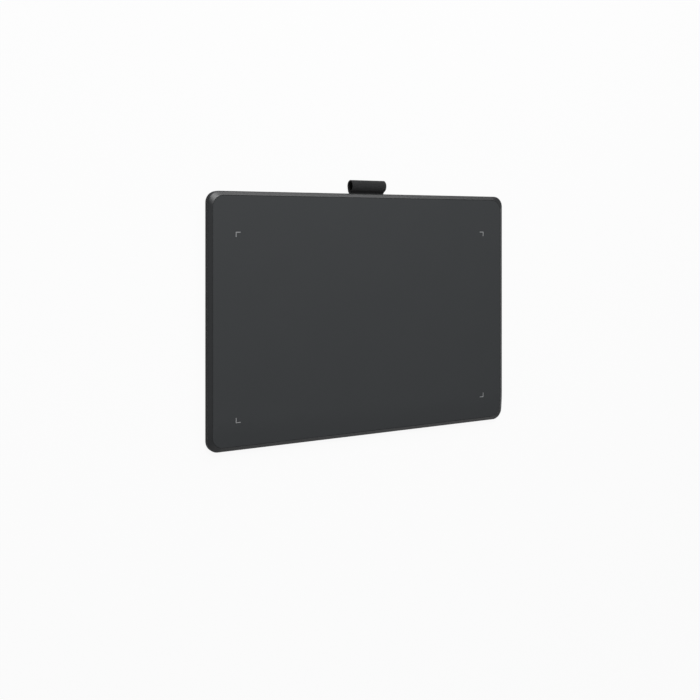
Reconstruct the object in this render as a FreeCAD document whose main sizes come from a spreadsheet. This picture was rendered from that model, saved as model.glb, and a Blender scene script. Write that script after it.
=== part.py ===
import FreeCAD, Part
import math
import os
import re
import Sketcher

# Graphics tablet, medium format, lying flat on its feet.
# +X runs along the long side, +Y to the rear edge with the ports and the pen loop, +Z up.
# The origin is under the middle of the whole object, pen loop included. All lengths are
# in millimetres and all angles in degrees.

# Driving dimensions. Each one is a cell of the spreadsheet.
SIZES = {
    # Overall form
    "wide": 261.0,
    "deep": 187.0,
    "thick": 8.0,
    "corner": 8.3,
    "cut_over": 1.0,
    "bevel_run": 2.9,
    "bevel_fall": 1.5,
    "rim_land": 0.3,
    "side_margin": 20.55,
    "front_margin": 20.4,
    "rear_margin": 29.3,
    # Lip along the front edge, where the face bends down
    "lip_past_marks": 3.1,
    "lip_bend": 13.2,
    "lip_slope": 6.0,
    # Covers
    "wall": 1.6,
    "base": 1.4,
    "seam": 0.25,
    "base_bevel": 1.2,
    "fit_gap": 0.15,
    "tongue_thick": 0.9,
    "tongue_deep": 1.4,
    "hook_long": 8.0,
    "hook_proud": 0.5,
    "hook_tall": 0.6,
    "hook_gap": 0.2,
    "tongue_end": 1.5,
    "film": 0.4,
    "film_inset": 0.3,
    "film_corner": 8.5,
    "film_gap": 0.08,
    "boss_inset": 8.0,
    "boss_round": 3.1,
    "boss_tall": 2.2,
    "rib_thick": 1.2,
    "rib_pitch": 22.0,
    "rib_gap": 0.1,
    "rib_end_gap": 6.0,
    # Feet and housing screws
    "foot_proud": 0.8,
    "foot_sunk": 0.5,
    "foot_long": 24.0,
    "foot_deep": 7.0,
    "foot_gap": 0.1,
    "foot_from_side": 31.0,
    "foot_from_end": 13.0,
    "screw_round": 1.0,
    "screw_head": 2.1,
    "screw_head_tall": 1.05,
    "screw_long": 3.9,
    "screw_gap": 0.15,
    "screw_sunk": 1.2,
    "cross_long": 2.3,
    "cross_thick": 0.5,
    "cross_deep": 0.55,
    # Pen sensing stack under the front cover
    "bond_gap": 0.03,
    "sensor": 0.8,
    "sensor_border": 4.0,
    "shield": 0.3,
    "shield_short": 10.0,
    "shield_inset": 2.0,
    "chip_wide": 7.0,
    "chip_deep": 6.0,
    "chip_tall": 0.9,
    "chip_pitch": 53.0,
    # Control board and what it carries
    "board": 1.0,
    "board_stand": 2.0,
    "board_left": 60.0,
    "board_right": 72.0,
    "board_rear_gap": 2.0,
    "board_front_gap": 2.4,
    "post_round": 2.4,
    "board_screw_x": 26.0,
    "board_screw_side": 4.0,
    "board_screw_in": 3.5,
    "board_screw_round": 0.8,
    "board_screw_head": 1.7,
    "board_screw_head_tall": 0.8,
    "board_screw_long": 2.2,
    "processor_x": 14.0,
    "processor_wide": 7.0,
    "processor_tall": 0.9,
    "radio_x": -46.0,
    "radio_wide": 10.0,
    "radio_deep": 8.0,
    "radio_tall": 1.4,
    "radio_board": 0.6,
    "can_inset": 0.5,
    "part_front_gap": 1.8,
    # Flat cable from the sensor board
    "flex_x": -10.0,
    "flex_wide": 14.0,
    "flex": 0.2,
    "flex_lap": 5.0,
    "flex_turn": 1.0,
    "socket_deep": 4.0,
    "socket_tall": 1.0,
    "socket_rim": 1.5,
    # Battery
    "battery_wide": 96.0,
    "battery_deep": 58.0,
    "battery_tall": 3.0,
    "battery_rear": 40.0,
    "battery_edge": 0.6,
    "battery_tape": 0.15,
    "tape_inset": 6.0,
    "bay_gap": 0.8,
    "lead_side": 12.0,
    "lead_round": 0.5,
    "lead_pitch": 1.3,
    "lead_level": 1.6,
    "lead_bend": 9.0,
    "lead_slope": 14.0,
    "lead_straight": 1.1,
    "lead_door": 10.0,
    "plug_wide": 5.0,
    "plug_deep": 3.0,
    "plug_tall": 1.3,
    "header_tall": 1.5,
    "header_deep": 3.4,
    "header_rim": 0.5,
    # Rear edge: charging port, power key, status light
    "port_x": 45.0,
    "port_wide": 8.94,
    "port_tall": 3.26,
    "port_deep": 7.35,
    "port_skin": 0.3,
    "port_sunk": 0.3,
    "port_gap": 0.18,
    "port_ear": 1.5,
    "port_ear_deep": 2.0,
    "port_ear_in": 1.0,
    "port_blade": 0.7,
    "port_blade_wide": 6.7,
    "port_blade_sunk": 1.0,
    "port_base": 1.2,
    "key_x": -45.0,
    "key_wide": 12.0,
    "key_tall": 2.4,
    "key_gap": 0.15,
    "key_proud": 0.1,
    "key_edge": 0.25,
    "key_flange": 0.8,
    "key_flange_wider": 1.0,
    "key_flange_taller": 0.5,
    "key_nib": 0.5,
    "key_rest_gap": 0.1,
    "switch_wide": 6.0,
    "switch_deep": 3.2,
    "switch_tall": 1.8,
    "switch_ear": 1.0,
    "switch_gap": 0.1,
    "plunger_wide": 2.4,
    "plunger_tall": 0.9,
    "plunger_in": 1.5,
    "plunger_gap": 0.1,
    "press_travel": 0.4,
    "light_x": 60.0,
    "light_round": 0.75,
    "light_gap": 0.1,
    "light_block_wide": 2.6,
    "light_block_low": 0.7,
    "light_block_high": 1.5,
    "led_wide": 2.4,
    "led_deep": 1.1,
    "led_tall": 0.8,
    # Pen loop
    "loop_wide": 30.0,
    "loop_round": 4.5,
    "loop_lift": 1.0,
    "band": 0.9,
    "neck_gap": 0.3,
    "neck_long": 0.3,
    "slot_gap": 0.15,
    "tail_in": 10.0,
    "tail_clear": 1.0,
    "clamp_thick": 0.8,
    "clamp_deep": 5.0,
    "clamp_from_wall": 1.5,
    "clamp_side": 5.0,
    "clamp_screw_side": 2.5,
    "clamp_screw_round": 0.8,
    "clamp_screw_head": 1.5,
    "clamp_screw_long": 2.6,
    "clamp_boss_round": 2.2,
    "clamp_gap": 0.1,
}

# Levels and places that follow from the driving dimensions.
WORKED_OUT = {
    "half_wide": "wide / 2",
    "half_deep": "deep / 2",
    "face": "foot_proud + thick",
    "plate": "bevel_fall + rim_land",
    "under": "face - plate",
    "rim": "under - seam",
    "floor_top": "foot_proud + base",
    "inner_x": "half_wide - wall",
    "inner_y": "half_deep - wall",
    "bend_rear": "-half_deep + front_margin + lip_past_marks",
    "bend_front": "bend_rear - lip_bend",
    "bend_radius": "lip_bend / sin(lip_slope)",
    "bend_drop": "bend_radius * (1 - cos(lip_slope))",
    "lip_drop": "bend_drop + (bend_front + half_deep) * tan(lip_slope)",
    "port_level": "board_low + board / 2",
    "neck_level": "under - clamp_gap - clamp_thick - band",
    "loop_level": "neck_level + loop_lift",
    "loop_out": "loop_round + neck_gap + band + neck_long",
    "overhang": "loop_out + loop_round",
    "film_edge": "bevel_run + film_inset",
    "boss_x": "half_wide - boss_inset",
    "boss_y": "half_deep - boss_inset",
    "boss_top": "floor_top + boss_tall",
    "lip_boss_under": "under - bend_drop - (bend_front + boss_y) * tan(lip_slope)",
    "screw_seat": "foot_proud + screw_sunk",
    "screw_tip": "screw_seat + screw_long",
    "sensor_x": "half_wide - side_margin + sensor_border",
    "sensor_front": "-half_deep + front_margin - sensor_border",
    "sensor_rear": "half_deep - rear_margin + sensor_border",
    "bond": "bond_gap + (bend_rear - sensor_front)^2 / (2 * bend_radius)",
    "sensor_top": "under - bond",
    "sensor_low": "sensor_top - sensor",
    "shield_low": "sensor_low - shield",
    "shield_rear": "sensor_rear - shield_short",
    "rib_tall": "shield_low - rib_gap - floor_top",
    "rib_front": "sensor_front + rib_end_gap",
    "rib_rear": "shield_rear - rib_end_gap",
    "bay_x": "battery_wide / 2 + bay_gap + rib_thick / 2",
    "bay_front": "battery_front - bay_gap - rib_thick / 2",
    "bay_rear": "battery_rear + bay_gap + rib_thick / 2",
    "board_low": "floor_top + board_stand",
    "board_top": "board_low + board",
    "board_rear": "inner_y - board_rear_gap",
    "board_front": "sensor_rear + board_front_gap",
    "board_screw_y": "board_front + board_screw_in",
    "battery_low": "floor_top + battery_tape",
    "battery_front": "battery_rear - battery_deep",
    "port_mouth": "half_deep - port_sunk",
    "port_back": "port_mouth - port_deep",
    "flange_rear": "inner_y - key_rest_gap",
    "flange_front": "flange_rear - key_flange",
    "nib_end": "flange_front - key_nib",
    "switch_rear": "board_rear",
    "slot_x": "loop_wide / 2 + slot_gap",
    "slot_low": "neck_level - band - slot_gap",
    "slot_high": "neck_level + band + slot_gap",
    "tail_front": "half_deep - tail_in",
    "clamp_x": "loop_wide / 2 + clamp_side",
    "clamp_screw_x": "clamp_x - clamp_screw_side",
    "clamp_rear": "inner_y - clamp_from_wall",
    "clamp_front": "clamp_rear - clamp_deep",
    "clamp_low": "neck_level + band",
    "neck_end": "half_deep + neck_gap + band",
    "loop_y": "half_deep + loop_out",
    "reach": "loop_round + neck_long",
    "rise_high": "loop_lift - band",
    "rise_low": "loop_lift + band",
    "lean_high": "asin(loop_round / sqrt(reach^2 + rise_high^2)) + atan(rise_high / reach)",
    "lean_low": "asin(loop_round / sqrt(reach^2 + rise_low^2)) - atan(rise_low / reach)",
    "plug_front": "board_front + part_front_gap",
    "header_front": "plug_front + plug_deep",
    "lead_x": "battery_wide / 2 - lead_side",
    "lead_low": "battery_low + lead_level",
    "lead_high": "board_top + plug_tall / 2",
    "lead_arc_run": "lead_bend * sin(lead_slope)",
    "lead_arc_rise": "lead_bend * (1 - cos(lead_slope))",
    "lead_climb": "(lead_high - lead_low - 2 * lead_arc_rise) / tan(lead_slope)",
    "lead_arc_end": "plug_front - lead_straight",
    "lead_arc_start": "lead_arc_end - 2 * lead_arc_run - lead_climb",
}

doc = FreeCAD.newDocument("graphics_tablet")
sheet = doc.addObject("Spreadsheet::Sheet", "Sizes")
for row, (alias, number) in enumerate(SIZES.items(), start=1):
    sheet.set(f"A{row}", alias)
    sheet.set(f"B{row}", str(number))
    sheet.setAlias(f"B{row}", alias)
doc.recompute()


def bound(text):
    """Write a size in terms of the sheet's cells, worked-out names opened up."""

    def swap(word):
        name = word[0]
        if name in WORKED_OUT:
            return f"({bound(WORKED_OUT[name])})"
        return f"Sizes.{name}" if name in SIZES else name

    return re.sub(r"[a-z_]+", swap, str(text))


def value(text):
    """The number that a size comes to."""
    found = sheet.evalExpression(bound(text))
    return float(getattr(found, "Value", found))


# Outlines. A corner is (x, y) or (x, y, radius) where the stretch that starts there is an
# arc under half a circle, bending left with a positive radius and right with a negative one.


def box(x_low, x_high, y_low, y_high):
    """A rectangle."""
    return [(x_low, y_low), (x_high, y_low), (x_high, y_high), (x_low, y_high)]


def rounded(x_low, x_high, y_low, y_high, radius):
    """A rectangle with quarter-circle corners."""
    return [
        (f"{x_low} + {radius}", y_low),
        (f"{x_high} - ({radius})", y_low, radius),
        (x_high, f"{y_low} + {radius}"),
        (x_high, f"{y_high} - ({radius})", radius),
        (f"{x_high} - ({radius})", y_high),
        (f"{x_low} + {radius}", y_high, radius),
        (x_low, f"{y_high} - ({radius})"),
        (x_low, f"{y_low} + {radius}", radius),
    ]


def about(x, y, long, tall):
    """A rectangle about a centre."""
    half_x, half_y = f"({long}) / 2", f"({tall}) / 2"
    return box(f"{x} - {half_x}", f"{x} + {half_x}", f"{y} - {half_y}", f"{y} + {half_y}")


def under_face(y_front, y_rear, level, low, flat=False):
    """Side view of a layer that follows the face and its lip, from a level down to a low one."""
    slope = f"bend_drop + (bend_front - ({y_front})) * tan(lip_slope)"
    top = [
        (y_rear, level),
        ("bend_rear", level, "bend_radius"),
        ("bend_front", f"{level} - bend_drop"),
        (y_front, f"{level} - ({slope})"),
    ]
    if flat:
        return top + [(y_front, low), (y_rear, low)]
    return top + [
        (y_front, f"{low} - ({slope})"),
        ("bend_front", f"{low} - bend_drop", "-bend_radius"),
        ("bend_rear", low),
        (y_rear, low),
    ]


def arc_through(start, end, radius):
    """The arc from start to end, bending left for a positive radius."""
    chord = end - start
    half = chord.Length / 2
    side = FreeCAD.Vector(-chord.y, chord.x, 0).normalize() * math.copysign(1, radius)
    rise = math.sqrt(max(radius**2 - half**2, 0))
    centre = start + chord / 2 + side * rise
    crown = centre - side * abs(radius)
    return Part.Arc(start, crown, end)


PLANES = {"XY": ("XY_Plane", 1), "YZ": ("YZ_Plane", 1), "XZ": ("XZ_Plane", -1)}


def place_sketch(body, name, plane, start):
    """An empty sketch across the named axis pair, at a start along the third axis."""
    role, turn = PLANES[plane]
    sketch = body.newObject("Sketcher::SketchObject", name)
    origin = next(item for item in body.Origin.OriginFeatures if item.Role == role)
    sketch.AttachmentSupport = [(origin, "")]
    sketch.MapMode = "FlatFace"
    sketch.setExpression("AttachmentOffset.Base.z", bound(f"({start}) * {turn}"))
    return sketch


def pin_down(sketch, geometry, end, x, y):
    """Tie one end of a sketch line to sizes."""
    for kind, size in (("DistanceX", x), ("DistanceY", y)):
        rule = Sketcher.Constraint(kind, -1, 1, geometry, end, value(size))
        index = sketch.addConstraint(rule)
        sketch.setExpression(f"Constraints[{index}]", bound(size))


def draw(sketch, corners, closed=True):
    """Draw an outline with every corner and radius tied to sizes."""
    points = [FreeCAD.Vector(value(corner[0]), value(corner[1]), 0) for corner in corners]
    count = len(corners) if closed else len(corners) - 1
    ends = []
    for index in range(count):
        start, end = points[index], points[(index + 1) % len(points)]
        if len(corners[index]) == 2:
            line = sketch.addGeometry(Part.LineSegment(start, end), False)
            ends.append((line, 1, 2))
            continue
        radius = corners[index][2]
        curve = sketch.addGeometry(arc_through(start, end, value(radius)), False)
        ends.append((curve, 1, 2) if value(radius) > 0 else (curve, 2, 1))
        size = radius if value(radius) > 0 else radius.lstrip("-")
        rule = sketch.addConstraint(Sketcher.Constraint("Radius", curve, value(size)))
        sketch.setExpression(f"Constraints[{rule}]", bound(size))
    for index in range(count):
        geometry, first, last = ends[index]
        pin_down(sketch, geometry, first, corners[index][0], corners[index][1])
        if index + 1 < count or closed:
            follower = ends[(index + 1) % count]
            joint = Sketcher.Constraint("Coincident", geometry, last, follower[0], follower[1])
            sketch.addConstraint(joint)
        else:
            pin_down(sketch, geometry, last, corners[-1][0], corners[-1][1])


def draw_circle(sketch, x, y, radius):
    """Draw a circle with its centre and radius tied to sizes."""
    centre = FreeCAD.Vector(value(x), value(y), 0)
    up = FreeCAD.Vector(0, 0, 1)
    index = sketch.addGeometry(Part.Circle(centre, up, value(radius)), False)
    pin_down(sketch, index, 3, x, y)
    rule = sketch.addConstraint(Sketcher.Constraint("Radius", index, value(radius)))
    sketch.setExpression(f"Constraints[{rule}]", bound(radius))


def new_body(name, placed=True):
    """A body whose own frame has the middle of the housing on its Z axis."""
    body = doc.addObject("PartDesign::Body", name)
    body.Label = name
    body.AllowCompound = True
    if placed:
        body.setExpression(".Placement.Base.y", bound("-overhang / 2"))
    return body


def prism(body, name, kind, plane, start, length, outlines=(), circles=()):
    """Pad or Pocket outlines from a start along the plane's own axis, for a length."""
    sketch = place_sketch(body, f"{name}_sketch", plane, start)
    for corners in outlines:
        draw(sketch, corners)
    for circle in circles:
        draw_circle(sketch, *circle)
    feature = body.newObject(f"PartDesign::{kind}", name)
    feature.Profile = sketch
    feature.setExpression("Length", bound(length))
    feature.Refine = False
    along_normal = PLANES[plane][1] > 0
    feature.Reversed = along_normal == (kind == "Pocket")
    return feature


def pad(body, name, plane, start, length, outlines=(), circles=()):
    """Add a prism."""
    return prism(body, name, "Pad", plane, start, length, outlines, circles)


def pocket(body, name, plane, start, length, outlines=(), circles=()):
    """Cut a prism."""
    return prism(body, name, "Pocket", plane, start, length, outlines, circles)


def edges_of(feature, wanted):
    """Names of the edges whose midpoint and direction suit."""
    doc.recompute()
    names = []
    for index, edge in enumerate(feature.Shape.Edges, start=1):
        middle = (edge.FirstParameter + edge.LastParameter) / 2
        if wanted(edge.valueAt(middle), edge.tangentAt(middle)):
            names.append(f"Edge{index}")
    if not names:
        raise RuntimeError(f"{feature.Label}: no edge found")
    return names


def fillet(body, name, wanted, radius):
    """Round the edges of the body's last feature that suit."""
    base = body.Tip
    names = edges_of(base, wanted)
    feature = body.newObject("PartDesign::Fillet", name)
    feature.Base = (base, names)
    feature.setExpression("Radius", bound(radius))
    return feature


def chamfer(body, name, wanted, run, fall):
    """Bevel the edges of the body's last feature that suit, by a run inward and a fall."""
    base = body.Tip
    names = edges_of(base, wanted)
    feature = body.newObject("PartDesign::Chamfer", name)
    feature.Base = (base, names)
    feature.ChamferType = "Two distances"
    feature.setExpression("Size", bound(run))
    feature.setExpression("Size2", bound(fall))
    return feature


def upright_corner(x, y):
    """Test for the upright edges at four corners about the middle."""
    far_x, far_y = value(x), value(y)

    def wanted(point, way):
        at_corner = math.isclose(abs(point.x), far_x, abs_tol=1e-4)
        at_corner = at_corner and math.isclose(abs(point.y), far_y, abs_tol=1e-4)
        return at_corner and abs(way.z) > 0.999

    return wanted


def off_outline(point, inset=0.0):
    """How far a point lies outside the housing's plan outline, moved in by an inset."""
    radius = value("corner") - inset
    over_x = max(abs(point.x) - (value("half_wide") - inset - radius), 0)
    over_y = max(abs(point.y) - (value("half_deep") - inset - radius), 0)
    return math.hypot(over_x, over_y) - radius


def face_level(y):
    """Height of the face above a place along Y."""
    if y > value("bend_rear"):
        return value("face")
    if y > value("bend_front"):
        radius = value("bend_radius")
        past = value("bend_rear") - y
        return value("face") - radius + math.sqrt(radius**2 - past**2)
    slope = math.tan(math.radians(value("lip_slope")))
    return value("face - bend_drop") - (value("bend_front") - y) * slope


def on_crest(point, way):
    """Test for the edges where the face meets the outline."""
    return abs(off_outline(point)) < 1e-3 and abs(point.z - face_level(point.y)) < 1e-3


FLAT_BOSSES = [("-boss_x", "0"), ("boss_x", "0"), ("-boss_x", "boss_y"), ("boss_x", "boss_y")]
LIP_BOSSES = [("-boss_x", "-boss_y"), ("boss_x", "-boss_y")]
BOSSES = FLAT_BOSSES + LIP_BOSSES
FEET = {
    "front_left": ("-(half_wide - foot_from_side)", "-(half_deep - foot_from_end)"),
    "front_right": ("(half_wide - foot_from_side)", "-(half_deep - foot_from_end)"),
    "rear_left": ("-(half_wide - foot_from_side)", "(half_deep - foot_from_end)"),
    "rear_right": ("(half_wide - foot_from_side)", "(half_deep - foot_from_end)"),
}
BOARD_POSTS = [
    ("-board_left + board_screw_side", "board_screw_y"),
    ("-board_screw_x", "board_screw_y"),
    ("board_screw_x", "board_screw_y"),
    ("board_right - board_screw_side", "board_screw_y"),
]
CLAMP_POSTS = [(f"{side}clamp_screw_x", "(clamp_front + clamp_rear) / 2") for side in ("-", "")]
CHIPS = ["-1.5 * chip_pitch", "-0.5 * chip_pitch", "0.5 * chip_pitch", "1.5 * chip_pitch"]

# Hooks of the front cover: the walls they catch and their middle along them.
HOOKS = [
    (("left", "right"), "-boss_y / 2"),
    (("left", "right"), "boss_y / 2"),
    (("front", "rear"), "-(half_wide - corner) * 3 / 4"),
    (("front",), "0"),
    (("front", "rear"), "(half_wide - corner) * 3 / 4"),
]


def slot(x, y, long, tall):
    """A pill shape about a centre."""
    low_x, high_x = f"{x} - ({long}) / 2", f"{x} + ({long}) / 2"
    low_y, high_y = f"{y} - ({tall}) / 2", f"{y} + ({tall}) / 2"
    end = f"({tall}) / 2"
    return [
        (f"{low_x} + {end}", low_y),
        (f"{high_x} - {end}", low_y, end),
        (high_x, y, end),
        (f"{high_x} - {end}", high_y),
        (f"{low_x} + {end}", high_y, end),
        (low_x, y, end),
    ]


def eight_sided(x, y, radius):
    """A regular outline of eight sides about a centre, its corners on a circle."""
    turns = [45 * step for step in range(8)]
    return [(f"{x} + {radius} * cos({turn})", f"{y} + {radius} * sin({turn})") for turn in turns]


def foot_outline(place, gap):
    """Plan outline of a foot, or of its recess with a gap."""
    x, y = place
    return slot(x, y, f"foot_long + 2 * {gap}", f"foot_deep + 2 * {gap}")


def at_places(places, radius):
    """Circles of one radius at places."""
    return [(x, y, radius) for x, y in places]


def hook_frame(wall_name):
    """Plane, sign, wall place and lowest level of the hooks along one wall."""
    plane = "XZ" if wall_name in ("left", "right") else "YZ"
    sign = "-" if wall_name in ("left", "front") else ""
    wall_place = "inner_x" if plane == "XZ" else "inner_y"
    drop = "lip_drop" if wall_name == "front" else "0"
    return plane, sign, wall_place, f"under - tongue_deep - {drop}"


def hook_wedge(wall_name):
    """Section of a hook: a wedge on the tongue that catches behind the housing wall."""
    plane, sign, wall_place, low = hook_frame(wall_name)
    root = f"{sign}({wall_place} - fit_gap - tongue_thick / 2)"
    skin = f"{sign}({wall_place} - fit_gap)"
    tip = f"{sign}({wall_place} - fit_gap + hook_proud)"
    return [
        (root, low),
        (skin, low),
        (tip, f"{low} + hook_tall * 0.6"),
        (tip, f"{low} + hook_tall"),
        (root, f"{low} + hook_tall"),
    ]


def hook_pocket_outline(wall_name, middle):
    """Plan outline of the recess in the housing wall that takes a hook."""
    plane, sign, wall_place, low = hook_frame(wall_name)
    near = f"{sign}({wall_place} - fit_gap)"
    far = f"{sign}({wall_place} + hook_proud - fit_gap + hook_gap)"
    start, end = f"{middle} - hook_long / 2 - hook_gap", f"{middle} + hook_long / 2 + hook_gap"
    return box(near, far, start, end) if plane == "XZ" else box(start, end, near, far)


def cut_hook_pockets(body):
    """Recesses for the hooks, lower along the front where the lip falls."""
    places = [(wall_name, middle) for walls, middle in HOOKS for wall_name in walls]
    tall = "hook_tall + 2 * hook_gap"
    for name, lip in (("level_hook_pockets", False), ("lip_hook_pockets", True)):
        chosen = [place for place in places if (place[0] == "front") == lip]
        low = f"{hook_frame(chosen[0][0])[3]} - hook_gap"
        pocket(body, name, "XY", low, tall, [hook_pocket_outline(*place) for place in chosen])


def cover_sheet(name, inset, placed=True):
    """A rounded sheet set in from the outline, from the film's underside to above the face."""
    body = new_body(name, placed)
    profile = under_face(f"-(half_deep - {inset})", f"half_deep - {inset}", "face + cut_over", "face - film")
    pad(body, "sheet", "YZ", f"-(half_wide - {inset})", f"wide - 2 * {inset}", [profile])
    corners = upright_corner(f"half_wide - {inset}", f"half_deep - {inset}")
    fillet(body, "sheet_corners", corners, f"film_corner + film_edge - {inset}")
    return body


def make_drawing_sheet():
    """Textured film that fills the recess of the front cover and follows its lip."""
    body = cover_sheet("drawing_sheet", "(film_edge + film_gap)")
    above = under_face("-half_deep", "half_deep", "face + 2 * cut_over", "face")
    pocket(body, "level_with_face", "YZ", "-half_wide", "wide", [above])
    return body


def make_front_cover():
    """Moulded top plate with a bevelled crest, a lip along the front, bosses and hooks."""
    body = new_body("front_cover")
    profile = under_face("-half_deep", "half_deep", "face", "under")
    pad(body, "plate", "YZ", "-half_wide", "wide", [profile])
    fillet(body, "plan_corners", upright_corner("half_wide", "half_deep"), "corner")
    chamfer(body, "bevel", on_crest, "bevel_run", "bevel_fall")

    recess = body.newObject("PartDesign::Boolean", "film_recess")
    recess.Type = "Cut"
    recess.addObjects([cover_sheet("film_recess_form", "film_edge", placed=False)])

    side_end = "(half_deep - corner - tongue_end)"
    strip = under_face(f"-{side_end}", side_end, "under + film", "under - tongue_deep")
    pad(body, "tongue_left", "YZ", "-(inner_x - fit_gap)", "tongue_thick", [strip])
    pad(body, "tongue_right", "YZ", "inner_x - fit_gap - tongue_thick", "tongue_thick", [strip])
    end = "(half_wide - corner - tongue_end)"
    front = box(
        "-(inner_y - fit_gap)",
        "-(inner_y - fit_gap - tongue_thick)",
        "under - lip_drop - tongue_deep",
        "under - lip_drop + plate / 2",
    )
    pad(body, "tongue_front", "YZ", f"-{end}", f"2 * {end}", [front])
    rear = box(
        "inner_y - fit_gap - tongue_thick",
        "inner_y - fit_gap",
        "under - tongue_deep",
        "under + film",
    )
    clear = "(board_right + tongue_end)"
    pad(body, "tongue_rear_left", "YZ", f"-{end}", f"{end} - {clear}", [rear])
    pad(body, "tongue_rear_right", "YZ", clear, f"{end} - {clear}", [rear])
    for number, (walls, middle) in enumerate(HOOKS, start=1):
        wedges = [hook_wedge(wall_name) for wall_name in walls]
        plane = hook_frame(walls[0])[0]
        pad(body, f"hooks_{number}", plane, f"{middle} - hook_long / 2", "hook_long", wedges)

    tall = "under + film - boss_top"
    pad(body, "flat_bosses", "XY", "boss_top", tall, circles=at_places(FLAT_BOSSES, "boss_round"))
    tall = "lip_boss_under + film - boss_top"
    pad(body, "lip_bosses", "XY", "boss_top", tall, circles=at_places(LIP_BOSSES, "boss_round"))
    depth = "screw_tip + screw_gap - boss_top"
    pocket(body, "pilots", "XY", "boss_top", depth, circles=at_places(BOSSES, "screw_round"))

    tab = box("-(slot_x - fit_gap)", "slot_x - fit_gap", "inner_y", "half_deep")
    pad(body, "loop_tab", "XY", "slot_high", "under + rim_land / 2 - slot_high", [tab])
    return body


def make_bottom_cover():
    """Moulded tub: floor, walls, bosses, posts, ribs, recesses and openings."""
    body = new_body("bottom_cover")
    profile = under_face("-half_deep", "half_deep", "rim", "foot_proud", flat=True)
    pad(body, "block", "YZ", "-half_wide", "wide", [profile])
    fillet(body, "plan_corners", upright_corner("half_wide", "half_deep"), "corner")
    ground = value("foot_proud")
    chamfer(
        body,
        "base_edge",
        lambda point, way: abs(off_outline(point)) < 1e-3 and abs(point.z - ground) < 1e-3,
        "base_bevel",
        "base_bevel",
    )
    room = rounded("-inner_x", "inner_x", "-inner_y", "inner_y", "(corner - wall)")
    pocket(body, "room", "XY", "floor_top", "thick", [room])
    cut_rear_wall(body)
    cut_hook_pockets(body)
    add_posts(body)
    cut_underside(body)
    add_ribs(body)
    return body


def add_posts(body):
    """Screw bosses with webs to the wall, board posts, and the seat of the loop's tail."""
    pad(body, "bosses", "XY", "floor_top", "boss_tall", circles=at_places(BOSSES, "boss_round"))
    webs = []
    for x, y in BOSSES:
        far = "-inner_x" if x.startswith("-") else "inner_x"
        near = f"{x} + boss_round / 2" if far == "inner_x" else f"{x} - boss_round / 2"
        webs.append(box(near, far, f"{y} - rib_thick / 2", f"{y} + rib_thick / 2"))
    pad(body, "boss_webs", "XY", "floor_top", "boss_tall", webs)
    posts = at_places(BOARD_POSTS, "post_round")
    pad(body, "board_posts", "XY", "floor_top", "board_stand", circles=posts)
    clamp_posts = at_places(CLAMP_POSTS, "clamp_boss_round")
    tall = "clamp_low - clamp_gap - floor_top"
    pad(body, "clamp_posts", "XY", "floor_top", tall, circles=clamp_posts)
    seats = []
    for step in (-2, -1, 0, 1, 2):
        middle = f"{step} * loop_wide / 5"
        seats.append(box(f"{middle} - rib_thick / 2", f"{middle} + rib_thick / 2", "tail_front", "inner_y"))
    pad(body, "tail_seat", "XY", "floor_top", "neck_level - band - floor_top", seats)
    pilots = at_places(BOARD_POSTS, "board_screw_round")
    start = "board_top - board_screw_long - screw_gap"
    pocket(body, "board_pilots", "XY", start, "board_screw_long", circles=pilots)
    pilots = at_places(CLAMP_POSTS, "clamp_screw_round")
    start = "clamp_low + clamp_thick - clamp_screw_long - screw_gap"
    pocket(body, "clamp_pilots", "XY", start, "clamp_screw_long", circles=pilots)


def rib_cells():
    """Plan outlines of the open cells in the grid of ribs."""
    half = "rib_thick / 2"
    side_lines = [f"(bay_x + {step} * rib_pitch)" for step in range(3)]
    side_rows = ["rib_front", "(bay_front - rib_pitch)", "bay_front", "rib_rear"]
    middle_rows = side_rows[:-1] + ["bay_rear", "rib_rear"]
    cells = []
    for near_y, far_y in zip(side_rows, side_rows[1:]):
        for near, far in zip(side_lines, side_lines[1:]):
            low_y, high_y = f"{near_y} + {half}", f"{far_y} - {half}"
            cells.append(box(f"{near} + {half}", f"{far} - {half}", low_y, high_y))
            cells.append(box(f"-{far} + {half}", f"-{near} - {half}", low_y, high_y))
    for near_y, far_y in zip(middle_rows, middle_rows[1:]):
        cells.append(box(f"-bay_x + {half}", f"bay_x - {half}", f"{near_y} + {half}", f"{far_y} - {half}"))
    return cells


def add_ribs(body):
    """One grid of ribs that backs the sensor stack and frames the battery bay."""
    reach = "(bay_x + 2 * rib_pitch + rib_thick / 2)"
    frame = box(f"-{reach}", reach, "rib_front - rib_thick / 2", "rib_rear + rib_thick / 2")
    pad(body, "rib_grid", "XY", "floor_top", "rib_tall", [frame] + rib_cells())
    way = about("lead_x", "(bay_rear + rib_rear) / 2", "lead_door", "rib_rear - bay_rear + 2 * rib_thick")
    pocket(body, "lead_way", "XY", "floor_top", "rib_tall", [way])


def cut_underside(body):
    """Recesses for the feet, and the counterbored screw holes."""
    recesses = [foot_outline(place, "foot_gap") for place in FEET.values()]
    pocket(body, "foot_recesses", "XY", "foot_proud", "foot_sunk", recesses)
    heads = at_places(BOSSES, "screw_head + screw_gap")
    pocket(body, "counterbores", "XY", "foot_proud", "screw_sunk", circles=heads)
    shanks = at_places(BOSSES, "screw_round + screw_gap")
    pocket(body, "shank_holes", "XY", "screw_seat", "boss_top - screw_seat", circles=shanks)


def cut_rear_wall(body):
    """Openings for the charging port, power key, status light and pen loop."""
    port = slot("port_x", "port_level", "port_wide + 2 * port_gap", "port_tall + 2 * port_gap")
    key = slot("key_x", "port_level", "key_wide + 2 * key_gap", "key_tall + 2 * key_gap")
    notch = box("-slot_x", "slot_x", "slot_low", "face")
    light = ("light_x", "port_level", "light_round")
    start, length = "inner_y - fit_gap", "wall + 2 * fit_gap"
    pocket(body, "rear_openings", "XZ", start, length, [port, key, notch], [light])


def make_foot(name, place):
    """Rubber foot glued into a recess of the underside."""
    body = new_body(name)
    pad(body, "pad", "XY", "0", "foot_proud + foot_sunk", [foot_outline(place, "0")])
    return body


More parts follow.
